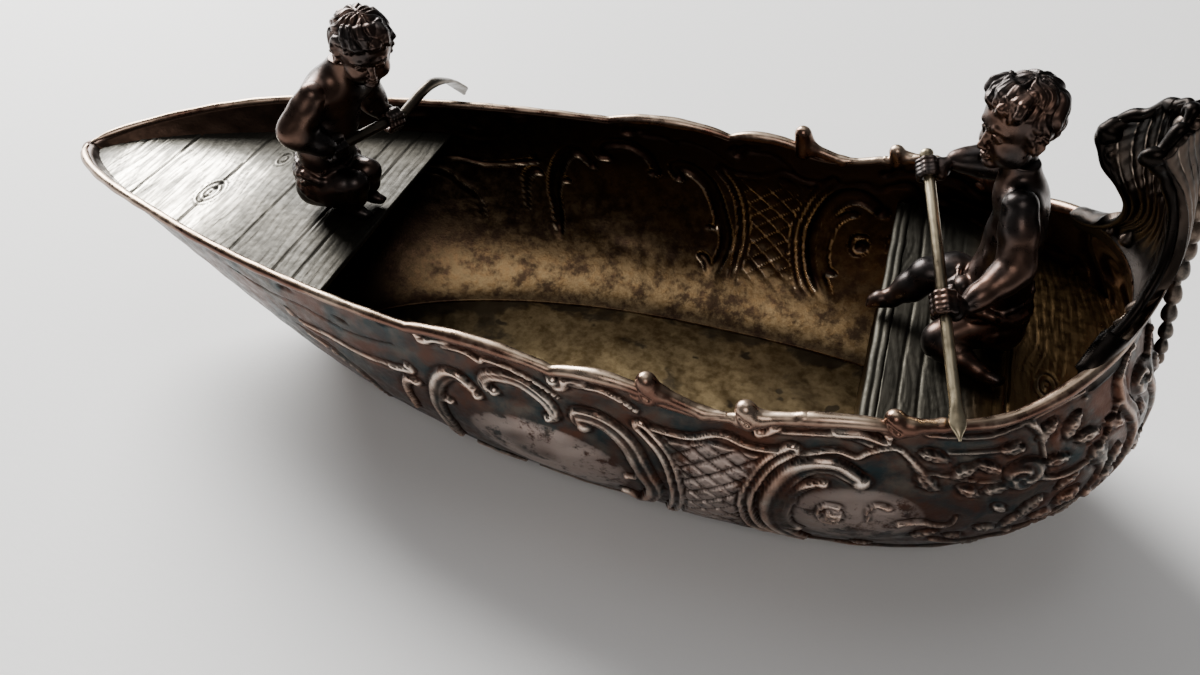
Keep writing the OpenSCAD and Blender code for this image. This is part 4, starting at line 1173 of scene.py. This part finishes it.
line = smooth(((98.9, -.6, 67.5), (100.6, -.6, 61.5), (101.7, -.6, 55.5), (103.0, -.6, 48),
               (104.5, -.6, 41.5), (105.4, -.6, 36.5)), 24)
ways = np.gradient(line, axis=0)
place_at = np.linspace(0, 1, 10) ** 0.94
pick = (place_at * (len(line) - 1)).astype(int)
garland = row_of("bell_husks", line[pick], -ways[pick], 2.15 - 1.0 * place_at, 1.45)
stem = wire("husk_stem", line, 0.75 - 0.25 * np.linspace(0, 1, len(line)), stern_silver, 10)
pearls = row_of("stern_pearls", ((96.6, -8.6, 50.6), (96.6, 8.6, 50.6), (98.2, -6.9, 51.8), (98.2, 6.9, 51.8),
                                 (94.6, -11.4, 49.6), (94.6, 11.4, 49.6)),
                ((0, 0, 1),) * 6, (1.7, 1.7, 1.25, 1.25, 1.05, 1.05), 0.92)
garland = joined([garland, stem, pearls])
mark(garland, np.tile((0.35, 0, 0, 1), (len(garland.data.vertices), 1)))
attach(garland, "boat")
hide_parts("stern_husks")

# ---- Rowers
# Two putti cast in silver and left dark. Head, body, arms and fists are cast apart and soldered, and
# each body has a tapped foot for the stud that holds it down.
figure_silver, tree, shader, place = new_finish("figure_silver")
rub, cavity, _, _ = wear(tree)
fine = noise(tree, place, 520, 4, 0.65)
cloud = noise(tree, place, 110, 3, 0.5)
colour = tint(tree, spread(tree, cloud, 0.38, 0.64), (0.036, 0.031, 0.030), (0.095, 0.056, 0.042))
rub = sums(tree, "MULTIPLY", rub, spread(tree, fine, 0.3, 0.65, 0.6, 1.3))
colour = tint(tree, spread(tree, rub, 0.25, 1.3), colour, (0.46, 0.34, 0.26))
colour = tint(tree, cavity, colour, (0.012, 0.009, 0.008))
metal(tree, shader, colour, spread(tree, fine, 0.3, 0.7, 0.26, 0.40), fine, 0.3, 0.0001)


def finished(name, points, faces, marks, nodes):
    """A piece of a rower, fixed to the boat."""
    piece = new_piece(name, points, faces, figure_silver)
    mark(piece, marks)
    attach(piece, "boat")
    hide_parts(*nodes)
    return piece


def figure_part(name, wax, nodes, times, gain):
    """Casts a piece of a rower and wears its high places."""
    points, faces = wax.skin()
    points = relax(points, faces, times)
    return finished(name, points, faces, surface_marks(points, faces, gain), nodes)


def head(name, node, centre, size, yaw, pitch, fringe, seed, squat):
    """A child's head, worked upright and facing +X about its own middle, then turned into place."""
    wax = Wax((-8.4, -7.4, -9.4), (8, 7.4, 9.2), 0.15)
    # Neck, skull, jaw, forehead and chin
    wax.rod(((-1.6, 0, -4.2), (-2.0, 0, -8.9)), (2.7, 2.6), 1.4)
    wax.lump((-0.8, 0, 1.5), (5.7, 4.9, 5.3), 0.8)
    wax.lump((1.0, 0, -2.2), (3.7, 3.8, 4.7), 1.2)
    wax.lump((2.3, 0, 1.2), (2.6, 3.5, 2.7), 1.2)
    wax.lump((3.3, 0, -5.9), (1.25, 1.4, 1.05), 1.0)
    # On each side the cheek, the eye in its socket with two lids, the brow, the nostril and the ear
    for y in (1, -1):
        wax.lump((2.5, 2.0 * y, -3.2), (1.85, 1.6, 1.75), 1.1)
        wax.lump((0.8, 2.3 * y, -4.4), (2.0, 1.5, 1.7), 1.2)
        wax.lump((5.35, 1.62 * y, -0.85), (1.15, 1.0, 0.78), 0.7, True)
        wax.lump((3.78, 1.62 * y, -0.9), (0.92, 0.88, 0.86), 0.12)
        wax.rod(((4.45, 0.75 * y, -1.0), (4.72, 1.2 * y, -0.5), (4.7, 1.75 * y, -0.4),
                 (4.3, 2.45 * y, -0.95)),
                0.17, 0.14)
        wax.rod(((4.45, 0.8 * y, -1.05), (4.6, 1.5 * y, -1.45), (4.25, 2.4 * y, -1.05)), 0.15, 0.16)
        wax.rod(((4.75, 0.6 * y, 0.45), (4.72, 1.6 * y, 0.78), (3.95, 2.8 * y, 0.35)), (0.3, 0.34, 0.2), 0.7)
        wax.lump((5.05, 0.5 * y, -3.0), (0.5, 0.36, 0.36), 0.3)
        wax.lump((5.3, 0.33 * y, -3.3), (0.2, 0.13, 0.13), 0.12, True)
        wax.lump((-0.5, 4.35 * y, -1.4), (1.0, 0.75, 1.35), 0.5)
        wax.rod(((0.3, 4.5 * y, -0.4), (-0.4, 5.0 * y, 0.15), (-1.3, 5.05 * y, -0.5), (-1.25, 4.9 * y, -1.7),
                 (-0.4, 4.6 * y, -2.7)), (0.3, 0.36, 0.38, 0.36, 0.42), 0.25)
        wax.lump((-0.25, 5.1 * y, -1.2), (0.5, 0.35, 0.7), 0.25, True)
    # Nose, lips, and the hollow between lip and chin
    wax.rod(((4.55, 0, -0.3), (5.0, 0, -1.4), (5.6, 0, -2.5)), (0.42, 0.42, 0.5), 0.6)
    wax.lump((5.6, 0, -2.75), (0.62, 0.55, 0.5), 0.35)
    wax.rod(((4.4, -1.0, -4.42), (4.85, -0.4, -4.15), (4.92, 0, -4.25), (4.85, 0.4, -4.15),
             (4.4, 1.0, -4.42)),
            (0.16, 0.27, 0.26, 0.27, 0.16), 0.3)
    wax.rod(((4.4, -0.85, -4.7), (4.75, -0.3, -4.92), (4.75, 0.3, -4.92), (4.4, 0.85, -4.7)),
            (0.2, 0.3, 0.3, 0.2), 0.3)
    wax.rod(((4.5, -1.05, -4.52), (5.1, 0, -4.55), (4.5, 1.05, -4.52)), 0.09, 0.12, True)
    wax.lump((5.0, 0, -5.45), (0.5, 0.8, 0.26), 0.5, True)
    # A cap of hair, with curls over the forehead and a lock before each ear
    wax.lump((-1.2, 0, 1.8), (5.35, 5.05, 5.2), 0.6)
    dice = np.random.default_rng(seed)
    for k in range(fringe):
        y = -3.9 + 7.8 * (k + 0.5) / fringe
        x = 4.5 * math.sqrt(1 - (y / 5.3) ** 2) - 0.3
        turn = dice.uniform(-0.5, 0.5)
        curl = [(x - 2.0, y * 0.82, 5.9), (x - 0.5, y * 0.95 + turn * 0.5, 5.0),
                (x + 0.25, y + turn * 0.9, 3.9),
                (x + 0.1, y + turn * 0.3, 3.0), (x + 0.2, y - turn * 0.7, 2.5)]
        wax.rod(curl, (0.8, 0.8, 0.7, 0.55, 0.4), 0.25)
    for y in (1, -1):
        wax.rod(((0.6, 4.6 * y, 1.8), (1.0, 4.55 * y, 0.6), (0.5, 4.5 * y, -0.5)), (0.8, 0.65, 0.4), 0.3)
    points, faces = wax.skin()
    points = relax(points, faces, 2)
    # The cap is combed into wavy strands, which stop at the face and the neck
    q = (points - (-1.2, 0, 1.8)) / (5.35, 5.05, 5.2)
    far = np.linalg.norm(q, axis=1)
    n = q / far[:, None]
    around, down = np.arctan2(n[:, 1], n[:, 0]), np.arccos(clamp(n[:, 2] * 0.5 + 0.5) * 2 - 1)
    face_zone = ease(0.6, 2.0, points[:, 0]) * ease(3.4, 2.4, points[:, 2])
    hair = ease(0.86, 0.97, far) * (1 - face_zone) * ease(-3.8, -2.6, points[:, 2])
    wave = around * 6 + seed + 1.3 * np.sin(down * 4.5 + 1.6 * np.sin(around * 2 + seed))
    break_up = down * 3.4 + 0.9 * np.sin(around * 4 + seed)
    ridge = np.abs(np.sin(wave)) ** 0.6 * (0.35 + 0.65 * np.abs(np.sin(break_up)) ** 0.5)
    strands = np.sin(wave * 5 + 2 * np.sin(down * 7))
    points = points + n * (hair * (0.72 * ridge - 0.25 + 0.05 * strands))[:, None]
    spin = np.array(Matrix.Rotation(math.radians(yaw), 3, "Z") @ Matrix.Rotation(math.radians(pitch), 3, "Y"))
    marks = surface_marks(points, faces, 2.6)
    points = points * size * np.array(squat) @ spin.T + np.array(centre)
    return finished(name, points, faces, marks, (node,))


def toes(wax, tip, way, size):
    """Five toes in a row at the tip of a foot that points along way."""
    way = np.array(way, float) / np.linalg.norm(way)
    side = np.cross(way, (0, 0, 1))
    for k in range(5):
        spot = np.array(tip) + side * (k - 2) * size * 0.95 - way * 0.22 * (k - 1) ** 2 * size
        wax.rod((spot - way * size, spot + way * size * 0.5),
                (size * (1.0 - 0.08 * k), size * (0.85 - 0.08 * k)), 0.14)


def arm(name, node, shoulder, elbow, wrist, thick):
    """Upper arm with its shoulder, and forearm down to the wrist."""
    shoulder, elbow, wrist = (np.array(p, float) for p in (shoulder, elbow, wrist))
    low = np.minimum(np.minimum(shoulder, elbow), wrist) - 4
    high = np.maximum(np.maximum(shoulder, elbow), wrist) + 4
    wax = Wax(low, high, 0.2)
    upper, fore = elbow - shoulder, wrist - elbow
    wax.rod((shoulder, shoulder + upper * 0.4, shoulder + upper * 0.8, elbow),
            [thick * k for k in (1.0, 1.0, 0.96, 0.92)], 1.4)
    wax.rod((elbow, elbow + fore * 0.3, elbow + fore * 0.75, wrist),
            [thick * k for k in (0.92, 0.88, 0.7, 0.58)], 1.4)
    crook = np.cross(upper, np.cross(upper, fore))
    crook /= max(1e-6, np.linalg.norm(crook))
    across = np.cross(upper, crook) / max(1e-6, np.linalg.norm(upper))
    for share in (0.0, 0.12):
        spot = elbow + fore * share - crook * thick * 0.95
        wax.rod((spot - across * thick * 0.7, spot + across * thick * 0.7), 0.13, 0.3, True)
    wax.rod((wrist - fore * 0.06 - across * thick * 0.6, wrist - fore * 0.06 - crook * thick * 0.55,
             wrist - fore * 0.06 + across * thick * 0.6), 0.1, 0.3, True)
    return figure_part(name, wax, (node,), 3, 1.0)


def fist(name, node, grip, shaft, wrist, bore, size, thumb_up=1):
    """A closed hand round a shaft, pierced for it so that the shaft runs free."""
    grip, shaft, wrist = (np.array(p, float) for p in (grip, shaft, wrist))
    shaft = shaft / np.linalg.norm(shaft)
    back = (wrist - grip) - shaft * ((wrist - grip) @ shaft)
    back /= np.linalg.norm(back)
    side = np.cross(shaft, back)
    wax = Wax(np.minimum(grip, wrist) - 4.2, np.maximum(grip, wrist) + 4.2, 0.13)
    # The back of the hand, then four fingers and the thumb round the shaft, then the bore
    palm = grip + back * (bore + 0.75)
    wax.rod((palm - shaft * size * 0.5, palm + shaft * size * 0.5), size * 0.6, 0.6)
    wax.rod((palm + back * 0.3, wrist), (size * 0.62, size * 0.58), 0.6)
    for k in range(4):
        off = (k - 1.5) * size * 0.43
        ring = bore + size * 0.27
        root = grip + shaft * (off + 0.1 * math.sin(k))
        arc = [root + back * ring * math.cos(a) + side * ring * math.sin(a)
               for a in np.radians((20, 65, 110, 155, 200, 245))]
        wax.rod(arc, size * np.array((0.27, 0.29, 0.28, 0.28, 0.26, 0.22)), 0.3)
    ring = bore + size * 0.3
    arc = [grip + shaft * thumb_up * size * (0.62 - 0.004 * deg) + back * ring * math.cos(math.radians(deg))
           - side * ring * math.sin(math.radians(deg)) for deg in (15, 55, 95, 130)]
    wax.rod(arc, size * np.array((0.34, 0.3, 0.27, 0.2)), 0.16)
    wax.rod((grip - shaft * 9, grip + shaft * 9), bore, 0.02, True)
    return figure_part(name, wax, (node,), 1, 4.0)


def cloth_folds(wax, centre, wide, deep, low, high, count, thick):
    """A loincloth wound round the hips: folds that dip at the front and cross one another."""
    for k in range(count):
        t = k / (count - 1)
        turn = np.linspace(0, 2 * np.pi, 26)
        x = centre[0] + (wide + 0.35 * math.sin(k * 2.1)) * np.cos(turn)
        y = centre[1] + (deep + 0.35 * math.cos(k * 1.7)) * np.sin(turn)
        z = low + (high - low) * t + 0.7 * np.sin(turn * 2 + k * 1.3) + 0.35 * np.sin(turn * 5 + k)
        wax.rod(np.stack([x, y, z], -1), thick * (0.8 + 0.3 * math.sin(k * 1.9)), 0.3)


# Stern rower, who kneels on one leg and faces the bow.
wax = Wax((57.5, -16, 33.0), (89, 11, 66), 0.24)
wax.lump((79.6, -1, 38.8), (5.6, 6.4, 5.4), 2.5)
wax.lump((79.3, -1, 45), (4.9, 5.7, 6.4), 2.5)
wax.lump((79.2, -0.8, 53.4), (4.3, 5.7, 7.2), 2.5)
wax.lump((78.4, -0.5, 60.0), (3.5, 5.6, 3.4), 2.5)
wax.rod(((78.0, -4.6, 61.6), (77.4, 4.2, 61.0)), 2.5, 2.0)
wax.rod(((77.8, -0.4, 60.4), (76.2, -0.2, 67.0)), (3.2, 2.6), 1.5)
for y in (1, -1):
    wax.lump((82.0, 2.4 * y - 1, 37.4), (3.2, 3.2, 3.4), 1.6)
wax.rod(((84.8, -1, 42.5), (84.4, -0.9, 50), (83.2, -0.6, 57.5)), 0.25, 1.6, True)
wax.lump((74.3, -1, 45.4), (0.6, 0.35, 0.4), 0.5, True)
wax.rod(((77.5, 3, 39.0), (73.2, 2.9, 41.2), (69.4, 2.3, 41.0)), (4.2, 3.7, 2.8), 1.2)
wax.lump((69.0, 2.2, 41.2), (2.4, 2.4, 2.2), 1.0)
wax.rod(((69.3, 2.2, 40.4), (67.2, 1.6, 38.3), (64.9, 0.9, 36.4)), (2.6, 2.5, 1.6), 1.0)
wax.lump((65.0, 0.9, 35.9), (1.6, 1.5, 1.6), 0.6)
wax.rod(((64.6, 0.8, 35.6), (62.9, 0.5, 35.3), (62.0, 0.4, 34.7)), (1.5, 1.4, 1.15), 0.6)
toes(wax, (61.4, 0.35, 34.3), (-0.8, -0.05, -0.6), 0.52)
wax.rod(((77.5, -4.3, 38.0), (73.2, -7.6, 36.8)), (3.9, 2.9), 1.2)
wax.lump((72.6, -8.0, 36.4), (2.4, 2.3, 2.2), 0.8)
wax.rod(((72.8, -8.6, 35.9), (76.2, -10.2, 35.8), (79.2, -11.4, 35.2)), (2.2, 2.1, 1.35), 0.8)
wax.rod(((79.2, -11.4, 34.9), (82.2, -12.1, 34.5)), (1.35, 1.0), 0.6)
toes(wax, (82.9, -12.3, 34.4), (1, -0.25, 0), 0.45)
cloth_folds(wax, (78.9, -1), 5.6, 6.1, 38.4, 43.8, 7, 0.78)
for k in range(5):
    wax.rod(((74.2, -4.6 + 2.0 * k, 43.6), (72.2 - 0.3 * k, -4.4 + 1.8 * k, 41.4),
             (71.4, -4.6 + 1.7 * k, 38.0)),
            (0.9, 0.75, 0.55), 0.3)
wax.lump((74.2, -3.4, 44.6), (1.5, 1.8, 1.4), 0.6)
figure_part("stern_rower_torso", wax, ("stern_rower_body",), 2, 1.6)
head("stern_rower_face", "stern_rower_head", (74.6, 0, 71.4), 1.0, 212, 5, 9, 11, (0.91, 0.96, 0.95))
POLE_TOP = np.array((64.4, 5, 60.6))
POLE_FOOT = np.array((75.8, -35, 43.5))
POLE_R = 0.9
RUNNING_FIT = 0.05
pole_way = POLE_FOOT - POLE_TOP
arm("stern_rower_port_arm", "stern_rower_left_arm", (77.6, -6.0, 62.0), (79.4, -9.8, 54.0),
    (74.0, -15.2, 50.4), 2.5)
arm("stern_rower_starboard_arm", "stern_rower_right_arm", (76.6, 5.2, 61.6), (72.8, 5.8, 61.2),
    (68.4, 4.9, 61), 2.2)
fist("stern_rower_port_fist", "stern_rower_left_fist", POLE_TOP + pole_way * 0.555, pole_way,
     (73.8, -15.6, 50.3),
     POLE_R + RUNNING_FIT, 2.0)
fist("stern_rower_starboard_fist", "stern_rower_right_fist", POLE_TOP + pole_way * 0.052, pole_way,
     (68.2, 4.9, 61),
     POLE_R + RUNNING_FIT, 1.75, -1)

# Bow rower, who sits with knees drawn up, faces the stern and looks down at the oar.
wax = Wax((-46.5, -9.5, 33.0), (-26, 8, 64), 0.24)
wax.lump((-39.0, -1, 38.6), (5.6, 6.3, 5.2), 2.5)
wax.lump((-38.8, -0.9, 45.6), (5.0, 5.9, 6.2), 2.5)
wax.lump((-36.6, -0.6, 52.8), (5.2, 6.0, 6.4), 2.5)
wax.lump((-34.8, -0.5, 57.6), (4.4, 5.6, 3.4), 2.5)
wax.rod(((-35.2, -5.0, 58.2), (-32.8, 4.6, 57.0)), 2.8, 2.5)
wax.rod(((-34.6, -0.4, 58), (-31.0, -0.2, 63.4)), (3.6, 2.9), 2.2)
for y in (1, -1):
    wax.lump((-42.0, 2.3 * y - 1, 37.2), (3.0, 3.0, 3.4), 1.6)
wax.rod(((-44.0, -1, 42), (-43.5, -0.9, 49), (-41.2, -0.6, 56)), 0.25, 1.6, True)
for y, out in ((-4.3, -0.2), (0.3, 0.3)):
    wax.rod(((-36.5, y, 38.6), (-33.8, y, 39.9), (-31.7, y + 0.1, 40.6)), (3.5, 3.1, 2.4), 0.9)
    wax.lump((-31.3, y, 41.0), (2.0, 2.0, 1.9), 0.7)
    wax.rod(((-31.7, y, 40.2), (-32.1, y + out * 0.6, 38), (-33.1, y + out, 35.6)), (2.1, 2.0, 1.35), 0.7)
    wax.rod(((-33.3, y + out, 34.9), (-31.8, y + out * 1.2, 34.6), (-30.5, y + out * 1.3, 34.3)),
            (1.3, 1.2, 1.0), 0.5)
    toes(wax, (-29.9, y + out * 1.3, 34.2), (1, 0.05, 0), 0.42)
cloth_folds(wax, (-39.3, -1), 5.2, 5.6, 38.0, 43.2, 7, 0.74)
for k in range(4):
    wax.rod(((-35.2, -3.6 + 1.8 * k, 42.4), (-33.4, -3.4 + 1.6 * k, 41.0), (-32.6, -3.0 + 1.5 * k, 37.4)),
            (0.8, 0.7, 0.5), 0.3)
figure_part("bow_rower_torso", wax, ("bow_rower_body",), 2, 1.6)
head("bow_rower_face", "bow_rower_head", (-27.2, -0.6, 66.5), 0.97, -48, 14, 9, 5, (0.96, 0.99, 0.87))
OAR_BUTT = np.array((-35.5, -11, 48.9))
OAR_BEND = np.array((-28.9, 12, 46.9))
OAR_R = 1.1
oar_way = OAR_BEND - OAR_BUTT
arm("bow_rower_port_arm", "bow_rower_right_arm", (-35.2, -5.8, 58.6), (-38.4, -9.4, 53.2),
    (-33.8, -6.8, 49.6), 2.7)
arm("bow_rower_starboard_arm", "bow_rower_left_arm", (-32.8, 5.4, 57.0), (-33.6, 8.4, 51.4),
    (-32.2, 8.4, 49.2), 2.5)
fist("bow_rower_port_fist", "bow_rower_right_fist", OAR_BUTT + oar_way * 0.25, oar_way, (-34.2, -7.0, 49.8),
     OAR_R + RUNNING_FIT, 1.9)
fist("bow_rower_starboard_fist", "bow_rower_left_fist", OAR_BUTT + oar_way * 0.84, oar_way,
     (-32.2, 8.4, 48.8),
     OAR_R + RUNNING_FIT, 1.9)

# ---- Oar and pole
# Drawn silver rods with hammered ends. The bow rower's oar turns in the pierced fists and the stern
# rower's pole slides through them.
rod_finishes = []
for name, dark, bright in (("oar_dark_silver", (0.030, 0.025, 0.021), (0.100, 0.082, 0.062)),
                           ("oar_silver", (0.10, 0.080, 0.055), (0.44, 0.37, 0.25))):
    finish, tree, shader, place = new_finish(name)
    fine = noise(tree, place, 600, 4, 0.65)
    worn = spread(tree, noise(tree, place, 90, 3, 0.6), 0.34, 0.56)
    colour = tint(tree, worn, dark, bright)
    colour = tint(tree, spread(tree, fine, 0.58, 0.78, 0.0, 0.5), colour, (0.05, 0.04, 0.032))
    metal(tree, shader, colour, spread(tree, fine, 0.3, 0.7, 0.27, 0.40), fine, 0.2, 0.00006)
    rod_finishes.append(finish)


def ribbon(name, path, wide, high, finish):
    """A rod along a path in mm whose half width and half height change on the way."""
    sides = 28
    way = np.gradient(path, axis=0)
    way /= np.linalg.norm(way, axis=1, keepdims=True)
    a = np.cross((0, 0, 1.0), way)
    a /= np.linalg.norm(a, axis=1, keepdims=True)
    b = np.cross(way, a)
    t = 2 * np.pi * np.arange(sides) / sides
    rings = path[:, None] + a[:, None] * (np.cos(t) * wide[:, None])[..., None] \
        + b[:, None] * (np.sin(t) * high[:, None])[..., None]
    n = len(path)
    points = np.concatenate([rings.reshape(-1, 3), path[:1], path[-1:]])
    k = np.arange(n * sides).reshape(n, sides)
    body = np.stack([k[:-1], k[1:], np.roll(k, -1, 1)[1:], np.roll(k, -1, 1)[:-1]], -1).reshape(-1, 4)
    body = np.concatenate([body[:, [0, 1, 2]], body[:, [0, 2, 3]]])
    first = np.stack([np.full(sides, n * sides), k[0], np.roll(k[0], -1)], -1)
    last = np.stack([np.full(sides, n * sides + 1), np.roll(k[-1], -1), k[-1]], -1)
    return new_piece(name, points, np.concatenate([body, first, last]), finish)


butt = [OAR_BUTT + oar_way * k for k in (0.120, 0.123, 0.128, 0.136, 0.148, 0.16)]
shaft = [OAR_BUTT + oar_way * t for t in np.linspace(0.174, 0.97, 56)]
blade = smooth([OAR_BUTT + oar_way * 0.98, (-28.1, 14, 48.2), (-27.2, 17, 49.3), (-27, 20.5, 49),
                 (-27.6, 25, 47.1), (-28.3, 29.5, 44.4), (-28.4, 33.2, 41.4), (-28.5, 35.6, 38.4)], 10)
path = np.array([*butt, *shaft, *blade])
t = np.concatenate([np.zeros(len(butt) + len(shaft)), np.linspace(0, 1, len(blade))])
knob = np.concatenate([[0.30, 0.62, 0.88, 1.08, 1.2, 1.08], np.full(len(path) - 6, OAR_R)]) / OAR_R
wide = 0.97 * (1 + 1.35 * ease(0.3, 0.75, t) - 1.9 * ease(0.84, 1, t)) * knob
high = 0.97 * (1 - 0.5 * ease(0.3, 0.75, t) - 0.2 * ease(0.9, 1, t)) * knob
oar = ribbon("bow_rower_oar", path, wide, high, rod_finishes[0])
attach(oar, "oar")
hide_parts("bow_oar")

t = np.concatenate([-np.array((0.028, 0.0265, 0.023, 0.017, 0.009)), np.linspace(0, 0.86, 90),
                    np.linspace(0.865, 1, 26)])
path = POLE_TOP + pole_way * t[:, None]
body = np.full(len(t), POLE_R - 0.08)
body[:6] = (0.3, 0.6, 0.86, 1.02, 1.04, 0.94)
wide = body + 0.34 * ease(0.87, 0.94, t) - 0.96 * ease(0.945, 1.0, t)
high = body - 0.32 * ease(0.87, 0.95, t) - 0.25 * ease(0.96, 1.0, t)
pole = ribbon("stern_rower_pole", path, wide, high, rod_finishes[1])
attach(pole, "pole")
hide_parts("stern_pole")

# ---- Studs, washers and nuts
# Brass fixings under the decks: a stud up into each rower, with a washer and a nut drawn up to the
# deck from below. Their plain shapes are right, so only their finish is made here.
fixing_brass, tree, shader, place = new_finish("fixing_brass")
fine = noise(tree, place, 500, 4, 0.65)
colour = tint(tree, spread(tree, fine, 0.36, 0.64), (0.26, 0.18, 0.08), (0.52, 0.39, 0.18))
colour = tint(tree, spread(tree, noise(tree, place, 160, 2), 0.55, 0.68), colour, (0.09, 0.07, 0.045))
metal(tree, shader, colour, spread(tree, fine, 0.3, 0.7, 0.28, 0.44), fine, 0.3, 0.0001)
for end in ("bow", "stern"):
    for part in ("stud", "washer", "nut"):
        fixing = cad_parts[f"{end}_{part}"]
        fixing.data.materials.clear()
        fixing.data.materials.append(fixing_brass)
